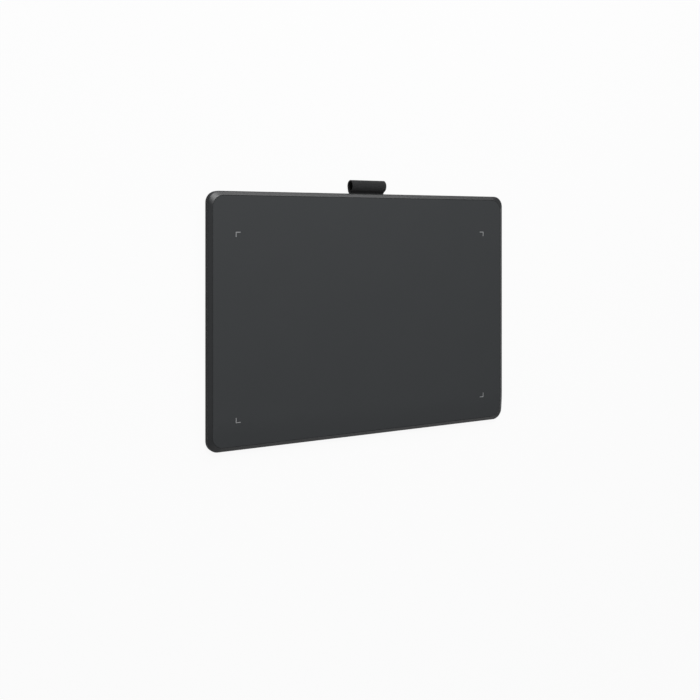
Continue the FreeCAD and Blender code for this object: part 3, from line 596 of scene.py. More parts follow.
@dataclass(frozen=True)
class TwoWires(Finish):
    """Sheaths of a pair of wires, each with its own colour.

    Attributes:
        other: The second wire's colour, linear.
        split: The X, in metres, where the second wire begins.
        depth: The sheaths' grain in metres.
        gloss_drift: How far the roughness drifts.
    """

    other: Colour = (0.01, 0.01, 0.01)
    split: float = 0.036
    depth: float = 0.000006
    gloss_drift: float = 0.05

    def dress(self) -> bpy.types.Material:
        """Build the sheaths.

        Returns:
            The material.
        """
        material, net, shader = self.start()
        place = net.add("ShaderNodeSeparateXYZ")
        net.join(object_point(net), place.inputs[0])
        second = net.maths("GREATER_THAN", place.outputs["X"], self.split)
        net.join(net.blend(second, (*self.colour, 1.0), (*self.other, 1.0)), shader.inputs["Base Color"])
        grain = Effects.place(net, "grain", Grain=FINE_GRAIN)
        self.vary_gloss(net, shader, grain.outputs["Gloss"], self.gloss_drift, self.gloss_drift)
        self.bump(net, shader, grain.outputs["Height"], self.depth)
        return material


COVER_PLASTIC = Moulded("cover_moulding", (0.032, 0.0335, 0.035), 0.36, 0.45, grain=0.00045, depth=0.000004)
TUB_PLASTIC = Moulded("tub_moulding", (0.0315, 0.0322, 0.0335), 0.72, 0.12, grain=0.00055, depth=0.00002)
SHEET_FILM = Moulded(
    "face_texture", (0.0515, 0.0545, 0.0569), 0.6, 0.22, grain=0.00022, depth=0.000008, drift=0.04
)
KEY_PLASTIC = Moulded("key_moulding", (0.030, 0.031, 0.033), 0.38, 0.4, grain=0.0003, depth=0.000006)
MARK_INK = Moulded("mark_ink", (0.34, 0.345, 0.35), 0.55, 0.3, grain=0.0002, depth=0.000004, drift=0.08)
FOOT_RUBBER = Moulded(
    "foot_compound", (0.022, 0.022, 0.023), 0.82, 0.2, grain=0.0007, depth=0.00004, drift=0.15
)
# The tape's weave carries painted shade in the gaps between its yarns.
LOOP_TAPE = Woven("loop_tape", (0.0255, 0.026, 0.027), 0.85, 0.2)
SCREW_STEEL = Metal("screw_steel", (0.20, 0.20, 0.21), 0.36)
SHIELD_STEEL = Metal("shield_steel", (0.55, 0.55, 0.56), 0.34)
PORT_STEEL = Metal("port_steel", (0.50, 0.50, 0.52), 0.26)
CAN_STEEL = Metal("can_steel", (0.62, 0.61, 0.58), 0.3)
CELL_FOIL = Metal("cell_pouch", (0.66, 0.67, 0.69), 0.42, line=0.0008, depth=0.00003)
BOARD_GREEN = Laminate("board_green", (0.012, 0.075, 0.032), 0.32)
CHIP_RESIN = Moulded("chip_package", (0.012, 0.012, 0.013), 0.55, grain=0.0002)
SOCKET_RESIN = Moulded("socket_resin", (0.52, 0.48, 0.38), 0.48, grain=0.0004)
PORT_RESIN = Moulded("port_insert", (0.014, 0.014, 0.015), 0.4, grain=0.0003)
PLUNGER_RESIN = Moulded("plunger_nylon", (0.11, 0.11, 0.12), 0.4, grain=0.0003)
FLEX_FILM = Moulded("flex_polyimide", (0.42, 0.17, 0.035), 0.28, grain=0.0006)
BOND_FILM = Moulded("bond_tape", (0.62, 0.62, 0.58), 0.4, grain=0.0008)
WIRE_SHEATH = TwoWires("wire_pair", (0.38, 0.015, 0.012), 0.42)
LIGHT_PLASTIC = Moulded("light_acrylic", (0.68, 0.72, 0.74), 0.28, grain=0.0005, glow=0.12)

# The inner nodes stay as packed, each with the finish of its real stuff.
NODE_FINISHES: dict[str, Finish] = {
    "bonding_sheet": BOND_FILM,
    "sensor_board": BOARD_GREEN,
    "shield_plate": SHIELD_STEEL,
    "sensor_chips": CHIP_RESIN,
    "control_board": BOARD_GREEN,
    "board_screws": SCREW_STEEL,
    "processor_chip": CHIP_RESIN,
    "radio_module": CAN_STEEL,
    "flex_socket": SOCKET_RESIN,
    "battery_header": SOCKET_RESIN,
    "flex_cable": FLEX_FILM,
    "battery_pack": CELL_FOIL,
    "battery_tape": BOND_FILM,
    "battery_lead": WIRE_SHEATH,
    "battery_plug": SOCKET_RESIN,
    "port_blade": PORT_RESIN,
    "power_switch": CAN_STEEL,
    "switch_plunger": PLUNGER_RESIN,
    "status_lamp": SOCKET_RESIN,
    "light_pipe": LIGHT_PLASTIC,
    "loop_clamp_bar": CAN_STEEL,
    "clamp_screws": SCREW_STEEL,
}


# Mesh helpers, all in millimetres until the mesh is placed


def moved(
    bm: bmesh.types.BMesh,
    verts: Iterable[bmesh.types.BMVert],
    x: float = 0.0,
    y: float = 0.0,
    z: float = 0.0,
) -> None:
    """Shift vertices.

    Args:
        bm: The bmesh.
        verts: Its vertices to shift.
        x: The shift along X.
        y: The shift along Y.
        z: The shift along Z.
    """
    bmesh.ops.translate(bm, verts=list(verts), vec=(x, y, z))


def soften(bm: bmesh.types.BMesh, test: EdgeTest, width: float, segments: int) -> None:
    """Round the edges that a test picks.

    Args:
        bm: The bmesh.
        test: Says whether an edge is rounded.
        width: The rounding's offset.
        segments: How many strips it has.
    """
    picked = [edge for edge in bm.edges if test(edge)]
    bmesh.ops.bevel(
        bm, geom=picked, offset=width, offset_type="OFFSET", segments=segments,
        profile=0.5, affect="EDGES", clamp_overlap=True, material=-1,
    )


def block(low: Vector, high: Vector) -> bmesh.types.BMesh:
    """A box between two corners.

    Args:
        low: The lowest corner.
        high: The highest corner.

    Returns:
        The new bmesh.
    """
    bm = bmesh.new()
    bmesh.ops.create_cube(bm, size=1.0)
    bmesh.ops.scale(bm, vec=high - low, verts=bm.verts)
    bmesh.ops.translate(bm, vec=(high + low) / 2, verts=bm.verts)
    return bm


def upright(edge: bmesh.types.BMEdge) -> bool:
    """Whether an edge stands upright.

    Args:
        edge: The edge.

    Returns:
        True if it does.
    """
    way = edge.verts[1].co - edge.verts[0].co
    return abs(way.z) > 0.999 * way.length


def slab(low: Vector, high: Vector, corner: float, segments: int) -> bmesh.types.BMesh:
    """A box whose upright edges are rounded.

    Args:
        low: The lowest corner.
        high: The highest corner.
        corner: The corners' radius.
        segments: How many strips each corner has.

    Returns:
        The new bmesh.
    """
    bm = block(low, high)
    soften(bm, upright, corner, segments)
    return bm


def level_part(part: bmesh.types.BMEdge | bmesh.types.BMFace, level: float) -> bool:
    """Whether an edge or a face lies all at one level.

    Args:
        part: The edge or face.
        level: The level.

    Returns:
        True if it does.
    """
    return all(abs(vert.co.z - level) < TINY for vert in part.verts)


def face_at(bm: bmesh.types.BMesh, level: float) -> bmesh.types.BMFace:
    """The largest flat face at one level.

    Args:
        bm: The bmesh.
        level: The level.

    Returns:
        The face.
    """
    return max((face for face in bm.faces if level_part(face, level)), key=lambda face: face.calc_area())


def step_along(
    bm: bmesh.types.BMesh, face: bmesh.types.BMFace, y: float = 0.0, z: float = 0.0
) -> bmesh.types.BMFace:
    """Extrude a face and move it.

    Args:
        bm: The bmesh.
        face: The face.
        y: How far it moves along Y.
        z: How far it moves along Z.

    Returns:
        The moved face.
    """
    grown = bmesh.ops.extrude_discrete_faces(bm, faces=[face])["faces"][0]
    moved(bm, grown.verts, y=y, z=z)
    return grown


def copy_of_node(node: str) -> bmesh.types.BMesh:
    """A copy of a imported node's mesh in millimetres, merged and with its flat faces whole.

    Args:
        node: The node's name.

    Returns:
        The new bmesh.
    """
    bm = bmesh.new()
    bm.from_mesh(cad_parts[node].data)
    bmesh.ops.scale(bm, vec=(1 / MM,) * 3, verts=bm.verts)
    bmesh.ops.remove_doubles(bm, verts=bm.verts, dist=0.0005)
    bmesh.ops.dissolve_limit(bm, angle_limit=math.radians(0.5), verts=bm.verts, edges=bm.edges)
    return bm


def cut_across(bm: bmesh.types.BMesh, point: Vector, normal: Vector, keep_below: bool = False) -> None:
    """Cut a mesh along a plane, so that it gets edges there.

    Args:
        bm: The bmesh.
        point: A point of the plane.
        normal: The plane's normal.
        keep_below: Whether what lies on the normal's side is deleted.
    """
    parts = [*bm.verts, *bm.edges, *bm.faces]
    bmesh.ops.bisect_plane(
        bm, geom=parts, dist=1e-5, plane_co=point, plane_no=normal, clear_outer=keep_below
    )


def place_piece(
    bm: bmesh.types.BMesh, name: str, finish: Finish, body: Body
) -> bpy.types.Object:
    """Turn a bmesh in millimetres into a finished piece that rides on a body.

    Args:
        bm: The bmesh, which is freed.
        name: The piece's name.
        finish: Its finish.
        body: The body it moves with.

    Returns:
        The new object.
    """
    bmesh.ops.scale(bm, vec=(MM,) * 3, verts=bm.verts)
    for face in bm.faces:
        face.smooth = True
    mesh = bpy.data.meshes.new(name)
    bm.to_mesh(mesh)
    bm.free()
    piece = bpy.data.objects.new(name, mesh)
    bpy.context.scene.collection.objects.link(piece)
    piece.data.materials.append(finish.material())
    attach(piece, body.value)
    log.info("built %s on %s: %d faces", name, body.value, len(mesh.polygons))
    return piece


def even_normals(piece: bpy.types.Object) -> bpy.types.Object:
    """Weight the normals by face area, so that flats shade flat and rounded edges smoothly.

    Args:
        piece: The piece.

    Returns:
        The same piece.
    """
    weighting = piece.modifiers.new("even_normals", "WEIGHTED_NORMAL")
    weighting.weight = 100
    weighting.keep_sharp = True
    return piece


def fine_edges(piece: bpy.types.Object, width: float, degrees: float = 28.0) -> bpy.types.Object:
    """Take the sharpness off a piece's edges with a fine bevel.

    Args:
        piece: The piece.
        width: The bevel's width in millimetres.
        degrees: The angle above which an edge is bevelled.

    Returns:
        The same piece.
    """
    edges = piece.modifiers.new("fine_edges", "BEVEL")
    edges.width = width * MM
    edges.segments = 2
    edges.limit_method = "ANGLE"
    edges.angle_limit = math.radians(degrees)
    edges.harden_normals = False
    return even_normals(piece)


# The tablet's sub-assemblies


@dataclass
class Lip:
    """How the face bends down along the front edge.

    Attributes:
        rear: The row's Y where the bend begins, in millimetres.
        bend: How far it runs before the slope is straight.
        degrees: The slope that it ends in.
    """

    rear: float = -70.0 + BODY_SHIFT_Y
    bend: float = 13.2
    degrees: float = 6.0

    @property
    def radius(self) -> float:
        """The bend's radius."""
        return self.bend / math.sin(math.radians(self.degrees))

    def drop(self, y: float) -> float:
        """How far the face lies below its level at one place.

        Args:
            y: The place on the row's Y.

        Returns:
            The drop, 0 or more.
        """
        into = self.rear - y
        if into <= 0.0:
            return 0.0
        if into < self.bend:
            return self.radius - math.sqrt(self.radius**2 - into**2)
        full = self.radius * (1.0 - math.cos(math.radians(self.degrees)))
        return full + (into - self.bend) * math.tan(math.radians(self.degrees))

    def cut(self, bm: bmesh.types.BMesh, steps: int = 12) -> None:
        """Cut a mesh across the bend, so that it has edges to bend at.

        Args:
            bm: The bmesh.
            steps: How many strips the bend gets.
        """
        for step in range(steps + 1):
            y = self.rear - self.bend * step / steps
            cut_across(bm, Vector((0.0, y, 0.0)), Vector((0.0, 1.0, 0.0)))

    def bend_down(self, bm: bmesh.types.BMesh, above: float) -> None:
        """Lower what lies over a level by the lip's drop.

        Args:
            bm: The bmesh.
            above: The level.
        """
        for vert in bm.verts:
            if vert.co.z > above:
                vert.co.z -= self.drop(vert.co.y)


@dataclass
class Covers:
    """The front cover with its bevelled rim, the film on it and the tub below.

    Attributes:
        wide: The body's length along X, in millimetres as are all sizes here.
        deep: Its depth along Y.
        corner: The radius of its outline's corners.
        film_corner: The radius of the corners of the film's recess.
        bevel_run: How far the rim's bevel runs inwards.
        bevel_fall: How far it falls.
        under: The level of the plate's underside.
        film: The film's thickness, which is also the recess's depth.
        film_inset: How far inside the bevel the seam round the film lies.
        film_gap: Half that seam's width.
        crest_round: How far the rounding between bevel and face reaches to each side.
        shoulder_rise: How far the shoulder over the wall rises before it leans in.
        shoulder_run: How far it runs inwards until it meets the bevel's line.
        round_steps: How many strips the crest and the shoulder have each.
        ring_step: How far a new ring is first inset, before its vertices are placed.
        film_edge_round: The rounding of the film's upper edge.
        film_edge_strips: How many strips it has.
        corner_strips: How many strips each corner of the outline has.
        tub_edge: The fine bevel on the tub's edges.
        inner_cut: How far under the plate its inner forms are cut off.
        inner_sunk: How far their cut tops are then raised into it.
        lip: How the face bends down along the front edge.
    """

    wide: float = 261.0
    deep: float = 187.0
    corner: float = 8.3
    film_corner: float = 8.5
    bevel_run: float = 2.9
    bevel_fall: float = 1.5
    under: float = 7.0
    film: float = 0.4
    film_inset: float = 0.3
    film_gap: float = 0.08
    crest_round: float = 0.12
    shoulder_rise: float = 0.28
    shoulder_run: float = 0.8
    round_steps: int = 5
    ring_step: float = 0.02
    film_edge_round: float = 0.1
    film_edge_strips: int = 2
    corner_strips: int = 20
    tub_edge: float = 0.2
    inner_cut: float = 0.005
    inner_sunk: float = 0.055
    lip: Lip = field(default_factory=Lip)

    def corner_point(self, side: int, level: float, inwards: float = 0.0) -> Vector:
        """One corner of the outline's box.

        Args:
            side: -1 for the low corner, 1 for the high one.
            level: Its height.
            inwards: How far inside the outline it is.

        Returns:
            The point.
        """
        return Vector(
            (side * (self.wide / 2 - inwards), side * (self.deep / 2 - inwards) + BODY_SHIFT_Y, level)
        )

    def ring(
        self, bm: bmesh.types.BMesh, face: bmesh.types.BMFace, inwards: float, level: float, corner: float
    ) -> None:
        """Step the top face in to a new ring, whose corners have a radius of their own.

        Args:
            bm: The bmesh.
            face: The top face, which shrinks.
            inwards: How far inside the cover's outline the ring lies.
            level: Its height.
            corner: Its corners' radius.
        """
        verts = list(face.verts)
        reach_x = max(vert.co.x for vert in verts)
        reach_y = max(vert.co.y - BODY_SHIFT_Y for vert in verts)
        flat_x = max(vert.co.x for vert in verts if vert.co.y - BODY_SHIFT_Y > reach_y - TINY)
        flat_y = max(vert.co.y - BODY_SHIFT_Y for vert in verts if vert.co.x > reach_x - TINY)
        new_x = self.wide / 2 - inwards - corner
        new_y = self.deep / 2 - inwards - corner
        bmesh.ops.inset_region(bm, faces=[face], thickness=self.ring_step, use_even_offset=True)
        for vert in face.verts:
            x, y = vert.co.x, vert.co.y - BODY_SHIFT_Y
            turn = Vector((abs(x) - flat_x, abs(y) - flat_y)).normalized()
            vert.co.x = math.copysign(new_x + corner * turn.x, x)
            vert.co.y = math.copysign(new_y + corner * turn.y, y) + BODY_SHIFT_Y
            vert.co.z = level

    def add_inner_forms(self, bm: bmesh.types.BMesh) -> None:
        """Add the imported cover's bosses, tongues, hooks and loop tab under the plate, still unbent.

        Args:
            bm: The plate's bmesh.
        """
        inner = copy_of_node("front_cover")
        for vert in inner.verts:
            vert.co.z += self.lip.drop(vert.co.y)
        cut = self.under - self.inner_cut
        cut_across(inner, Vector((0.0, 0.0, cut)), Vector((0.0, 0.0, 1.0)), keep_below=True)
        rims = [edge for edge in inner.edges if edge.is_boundary]
        bmesh.ops.triangle_fill(inner, edges=rims, normal=(0.0, 0.0, 1.0))
        moved(inner, [vert for vert in inner.verts if vert.co.z > cut - TINY], z=self.inner_sunk)
        bmesh.ops.recalc_face_normals(inner, faces=inner.faces)
        for edge in inner.edges:
            edge.smooth = edge.calc_face_angle(0.0) < math.radians(30.0)
        forms = bpy.data.meshes.new("inner_forms")
        inner.to_mesh(forms)
        inner.free()
        bm.from_mesh(forms)
        bpy.data.meshes.remove(forms)

    def build_front_cover(self) -> bpy.types.Object:
        """Model the front cover from a thin rounded slab, ring by ring up its rim to the film's recess.

        Returns:
            The piece.
        """
        slope = math.atan2(self.bevel_fall, self.bevel_run)
        wall_top = FACE_LEVEL - self.bevel_fall - self.shoulder_rise
        far = Vector((self.shoulder_run, self.shoulder_run * math.tan(slope)))
        crest = self.crest_round / math.tan(slope / 2)
        land = self.film_inset - self.film_gap
        low, high = self.corner_point(-1, self.under), self.corner_point(1, wall_top)
        bm = slab(low, high, self.corner, self.corner_strips)
        face = face_at(bm, wall_top)
        for step in range(1, self.round_steps + 1):
            share = step / self.round_steps
            inwards = far.x * share**2
            rise = 2.0 * share * (1.0 - share) * self.shoulder_rise
            rise += share**2 * (self.shoulder_rise + far.y)
            self.ring(bm, face, inwards, wall_top + rise, self.corner - inwards)
        for step in range(self.round_steps + 1):
            lean = slope * (1.0 - step / self.round_steps)
            inwards = self.bevel_run + self.crest_round - crest * math.sin(lean)
            level = FACE_LEVEL - crest * (1.0 - math.cos(lean))
            self.ring(bm, face, inwards, level, self.film_corner + self.bevel_run + land - inwards)
        self.ring(bm, face, self.bevel_run + land, FACE_LEVEL, self.film_corner)
        step_along(bm, face, z=-self.film)
        self.lip.cut(bm)
        self.add_inner_forms(bm)
        self.lip.bend_down(bm, 0.0)
        piece = place_piece(bm, "cover_front", COVER_PLASTIC, Body.HOUSING)
        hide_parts("front_cover")
        return even_normals(piece)

    def build_film(self) -> bpy.types.Object:
        """Model the textured film that the pen draws on.

        Returns:
            The piece.
        """
        edge = self.bevel_run + self.film_inset + self.film_gap
        low = self.corner_point(-1, FACE_LEVEL - self.film, edge)
        high = self.corner_point(1, FACE_LEVEL, edge)
        bm = slab(low, high, self.film_corner - self.film_gap, self.corner_strips)
        soften(bm, lambda edge: level_part(edge, FACE_LEVEL), self.film_edge_round, self.film_edge_strips)
        self.lip.cut(bm)
        self.lip.bend_down(bm, 0.0)
        piece = place_piece(bm, "face_film", SHEET_FILM, Body.HOUSING)
        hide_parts("drawing_sheet")
        return even_normals(piece)

    def build_tub(self) -> bpy.types.Object:
        """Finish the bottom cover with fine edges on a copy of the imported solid.

        Returns:
            The piece.
        """
        bm = copy_of_node("bottom_cover")
        piece = place_piece(bm, "cover_tub", TUB_PLASTIC, Body.HOUSING)
        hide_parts("bottom_cover")
        return fine_edges(piece, self.tub_edge)

    def build(self) -> None:
        """Build the covers and the film."""
        self.build_front_cover()
        self.build_film()
        self.build_tub()


@dataclass
class CornerMarks:
    """The four printed angles that mark the drawing area.

    Attributes:
        wide: The distance along X between the marks' outer edges, in millimetres.
        front: The outer edge's Y of the two front marks.
        rear: The outer edge's Y of the two rear marks.
        arm: The length of each arm.
        stroke: Its width.
        proud: How far the ink reaches over the face, and under it.
        lip: How the face bends down along the front edge.
    """

    wide: float = 219.9
    front: float = -73.1 + BODY_SHIFT_Y
    rear: float = 64.2 + BODY_SHIFT_Y
    arm: float = 3.7
    stroke: float = 0.6
    proud: float = 0.02
    lip: Lip = field(default_factory=Lip)

    def angle(self, side: Side, rear: bool) -> bmesh.types.BMesh:
        """Model one mark, its arms pointing into the drawing area.

        Args:
            side: The end of the tablet.
            rear: Whether it is at the rear edge.

        Returns:
            The mark.
        """
        low = Vector((0.0, 0.0, FACE_LEVEL - self.proud))
        high = Vector((self.arm, self.stroke, FACE_LEVEL + self.proud))
        bm = block(low, high)
        cut_across(bm, Vector((self.stroke, 0.0, 0.0)), Vector((1.0, 0.0, 0.0)))
        stub = next(f for f in bm.faces if f.normal.y > 0.9 and f.calc_center_median().x < self.stroke)
        step_along(bm, stub, y=self.arm - self.stroke)
        x = side.value * self.wide / 2
        y = self.rear if rear else self.front
        turned = Matrix.Diagonal((-side.value, -1.0 if rear else 1.0, 1.0, 1.0))
        bmesh.ops.transform(bm, matrix=Matrix.Translation((x, y, 0.0)) @ turned, verts=bm.verts)
        bmesh.ops.recalc_face_normals(bm, faces=bm.faces)
        self.lip.bend_down(bm, 0.0)
        return bm

    def build(self) -> None:
        """Build the four marks."""
        for side in Side:
            for rear in (False, True):
                name = f"mark_{'rear' if rear else 'front'}_{side.name.lower()}"
                piece = place_piece(self.angle(side, rear), name, MARK_INK, Body.HOUSING)
                for polygon in piece.data.polygons:
                    polygon.use_smooth = False


@dataclass
class Foot:
    """A rubber foot with a rounded tread.

    Attributes:
        crown: The rounding round the tread, in millimetres.
        crown_strips: How many strips it has.
        end_strips: How many strips each quarter of a round end has.
        end_flat: How much the ends' radius falls short of half the foot's width.
    """

    crown: float = 0.35
    crown_strips: int = 4
    end_strips: int = 12
    end_flat: float = 0.01

    def build(self, node: str) -> bpy.types.Object:
        """Model one foot in the place of its node.

        Args:
            node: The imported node's name.

        Returns:
            The piece.
        """
        low, high = (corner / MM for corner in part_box(node))
        bm = slab(low, high, (high.y - low.y) / 2 - self.end_flat, self.end_strips)
        soften(bm, lambda edge: level_part(edge, low.z), self.crown, self.crown_strips)
        piece = place_piece(bm, f"rubber_{node}", FOOT_RUBBER, Body.HOUSING)
        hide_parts(node)
        return even_normals(piece)


@dataclass
class RearEdge:
    """What sits in the rear wall: the charging port and the power key.

    Attributes:
        key_edge: The fine bevel on the key's edges, in millimetres.
        port_edge: The fine bevel on the port's edges.
    """

    key_edge: float = 0.1
    port_edge: float = 0.05

    def build_key(self) -> bpy.types.Object:
        """Finish the power key.

        Returns:
            The piece.
        """
        bm = copy_of_node("power_key")
        piece = place_piece(bm, "key_cap", KEY_PLASTIC, Body.KEY)
        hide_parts("power_key")
        return fine_edges(piece, self.key_edge)

    def build_port(self) -> bpy.types.Object:
        """Finish the charging port's shell.

        Returns:
            The piece.
        """
        bm = copy_of_node("port_shell")
        piece = place_piece(bm, "port_sleeve", PORT_STEEL, Body.HOUSING)
        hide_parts("port_shell")
        return fine_edges(piece, self.port_edge)

    def build(self) -> None:
        """Build the pieces of the rear edge."""
        self.build_key()
        self.build_port()


@dataclass
class PenLoop:
    """The loop of woven tape that holds the pen: its middle line, drawn out to the tape's width.

    Attributes:
        wide: The tape's width, in millimetres as are all sizes here.
        thick: Its thickness.
        ring: The radius of the ring's middle line.
        ring_y: The Y of the ring's centre.
        ring_z: The ring's centre's level.
        neck_y: Where the two plies part to go round the ring.
        neck_z: The level midway between them.
        ply_gap: How far each ply lies from that level.
        sag: How far the lower ply hangs below its level at the neck.
        turn_in: How far in front of the neck it is at its level again.
        tail_y: Where the tails end under the clamp bar.
        strip_long: About how long a strip of a straight run is.
        smooth_from: How far in front of the neck the smoothing begins.
        smooth_to: How far behind the neck the smoothing ends and the ribs begin.
        smooth_passes: How often the line is smoothed there.
        flex_past: How far behind the neck the bend of the moved loop ends; not used.
        selvedge: The bevel on the tape's edges.
        ring_strips: How many strips the ring has.
        columns: How many strips the tape has across.
        rib: The pitch of the cross ribs.
        rib_depth: How far they rise over the middle line and fall under it.
    """

    wide: float = 30.0
    thick: float = 0.84
    ring: float = 4.05
    ring_y: float = 94.25
    ring_z: float = 6.2
    neck_y: float = 89.6
    neck_z: float = 5.2
    ply_gap: float = 0.45
    sag: float = 1.5
    turn_in: float = 1.1
    tail_y: float = 78.35
    strip_long: float = 0.35
    smooth_from: float = 1.2
    smooth_to: float = 2.4
    smooth_passes: int = 14
    flex_past: float = 1.0
    selvedge: float = 0.26
    ring_strips: int = 72
    columns: int = 40
    rib: float = 0.9
    rib_depth: float = 0.022

    def lean(self, upper: bool) -> float:
        """The angle on the ring where one ply leaves it.

        Args:
            upper: Whether it is the upper ply.

        Returns:
            The angle from the ring's front, in radians, up or down.
        """
        reach = self.ring_y - self.neck_y
        sign = 1.0 if upper else -1.0
        rise = (self.ring_z - self.neck_z) - sign * self.ply_gap + (0.0 if upper else self.sag)
        far = math.hypot(reach, rise)
        return math.acos(self.ring / far) - sign * math.atan2(rise, reach)

    def centreline(self, bm: bmesh.types.BMesh) -> None:
        """Draw the tape's middle line: tail, neck, round the ring and back.

        Args:
            bm: The bmesh to draw in.
        """
        high, low = self.lean(True), self.lean(False)
        centre = Vector((0.0, self.ring_y, self.ring_z))
        start = centre + Vector((0.0, -self.ring * math.cos(high), self.ring * math.sin(high)))
        first = bmesh.ops.create_vert(bm, co=start)["vert"][0]
        turn = 2.0 * math.pi - high - low
        bmesh.ops.spin(
            bm, geom=[first], cent=centre, axis=(1.0, 0.0, 0.0), angle=-turn,
            steps=self.ring_strips, use_merge=False, use_duplicate=False,
        )
        tips = [vert for vert in bm.verts if len(vert.link_edges) == 1]
        for tip in tips:
            upper = tip.co.z > self.ring_z
            level = self.neck_z + (self.ply_gap if upper else -self.ply_gap)
            turns = [(self.neck_y, level)]
            if not upper:
                turns = [(self.neck_y, level - self.sag), (self.neck_y - self.turn_in, level)]
            for y, z in (*turns, (self.tail_y, level)):
                tip = bmesh.ops.extrude_vert_indiv(bm, verts=[tip])["verts"][0]
                tip.co = Vector((0.0, y, z))

    def build(self) -> bpy.types.Object:
        """Model the tape.

        Returns:
            The piece.
        """
        bm = bmesh.new()
        run = bm.verts.layers.float.new("run")
        self.centreline(bm)
        straight = [edge for edge in bm.edges if edge.calc_length() > 2.0 * self.strip_long]
        for edge in straight:
            cuts = max(2, int(edge.calc_length() / self.strip_long))
            bmesh.ops.subdivide_edges(bm, edges=[edge], cuts=cuts)
        begin, end = self.neck_y - self.smooth_from, self.neck_y + self.smooth_to
        near_neck = [vert for vert in bm.verts if begin < vert.co.y < end]
        for _ in range(self.smooth_passes):
            bmesh.ops.smooth_vert(
                bm, verts=near_neck, factor=0.5, use_axis_x=True, use_axis_y=True, use_axis_z=True
            )
        ends = [vert for vert in bm.verts if len(vert.link_edges) == 1]
        self.measure(max(ends, key=lambda vert: vert.co.z), run)
        self.ribbed(bm, run)
        moved(bm, bm.verts, x=-self.wide / 2)
        edges = list(bm.edges)
        for _ in range(self.columns):
            grown = bmesh.ops.extrude_edge_only(bm, edges=edges)["geom"]
            fresh = {item for item in grown if isinstance(item, bmesh.types.BMVert)}
            edges = [
                item for item in grown
                if isinstance(item, bmesh.types.BMEdge) and all(vert in fresh for vert in item.verts)
            ]
            moved(bm, fresh, x=self.wide / self.columns)
        weave = bm.loops.layers.uv.new("weave")
        for face in bm.faces:
            for loop in face.loops:
                loop[weave].uv = (loop.vert[run] * MM, loop.vert.co.x * MM)
        bmesh.ops.recalc_face_normals(bm, faces=bm.faces)
        piece = place_piece(bm, "pen_tape_loop", LOOP_TAPE, Body.LOOP)
        piece.parent = None
        body = piece.modifiers.new("tape_body", "SOLIDIFY")
        body.thickness = self.thick * MM
        body.offset = 0.0
        body.use_even_offset = True
        selvedge = piece.modifiers.new("selvedge", "BEVEL")
        selvedge.width = self.selvedge * MM
        selvedge.segments = 3
        selvedge.limit_method = "ANGLE"
        selvedge.angle_limit = math.radians(60.0)
        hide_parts("pen_loop", "pen_loop_tail")
        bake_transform(piece)
        return piece

    def measure(self, first: bmesh.types.BMVert, run: bmesh.types.BMLayerItem) -> None:
        """Write each vertex's distance along the tape.

        Args:
            first: The line's first vertex.
            run: The layer that takes the distance.
        """
        seen, here, far = {first}, first, 0.0
        first[run] = 0.0
        while True:
            onward = [e for e in here.link_edges if e.other_vert(here) not in seen]
            if not onward:
                return
            far += onward[0].calc_length()
            here = onward[0].other_vert(here)
            here[run] = far
            seen.add(here)

    def ribbed(self, bm: bmesh.types.BMesh, run: bmesh.types.BMLayerItem) -> None:
        """Raise the tape's cross ribs where it goes round the ring.

        Args:
            bm: The bmesh that holds the line.
            run: The layer with the distance along the tape.
        """
        centre = Vector((0.0, self.ring_y, self.ring_z))
        for vert in bm.verts:
            if vert.co.y > self.neck_y + self.smooth_to:
                out = (vert.co - centre).normalized()
                vert.co += out * self.rib_depth * math.cos(2.0 * math.pi * vert[run] / self.rib)


@dataclass
class HousingScrews:
    """The six screws under the tablet, their heads sunk in the tub.

    Attributes:
        head_edge: The fine bevel on their edges, in millimetres.
    """

    head_edge: float = 0.06

    def build(self) -> bpy.types.Object:
        """Finish the screws.

        Returns:
            The piece.
        """
        bm = copy_of_node("housing_screws")
        piece = place_piece(bm, "case_screws", SCREW_STEEL, Body.HOUSING)
        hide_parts("housing_screws")
        return fine_edges(piece, self.head_edge)


@dataclass(frozen=True)
class Softbox:
    """A soft rectangular lamp that faces the tablet.

    Attributes:
        name: The lamp's name.
        way: The direction to it from the tablet.
        wide: Its level side in metres.
        tall: Its other side in metres.
        power: Its power in watts.
        far: How far away it is in metres.
    """

    name: str
    way: tuple[float, float, float]
    wide: float
    tall: float
    power: float
    far: float = 1.15

    def build(self) -> bpy.types.Object:
        """Hang the lamp.

        Returns:
            The lamp's object.
        """
        data = bpy.data.lights.new(self.name, "AREA")
        data.shape = "RECTANGLE"
        data.size = self.wide
        data.size_y = self.tall
        data.energy = self.power
        lamp = bpy.data.objects.new(self.name, data)
        bpy.context.scene.collection.objects.link(lamp)
        way = Vector(self.way)
        facing = way.to_track_quat("Z", "Y").to_matrix().to_4x4()
        lamp.matrix_world = Matrix.Translation(way.normalized() * self.far) @ facing
        return lamp


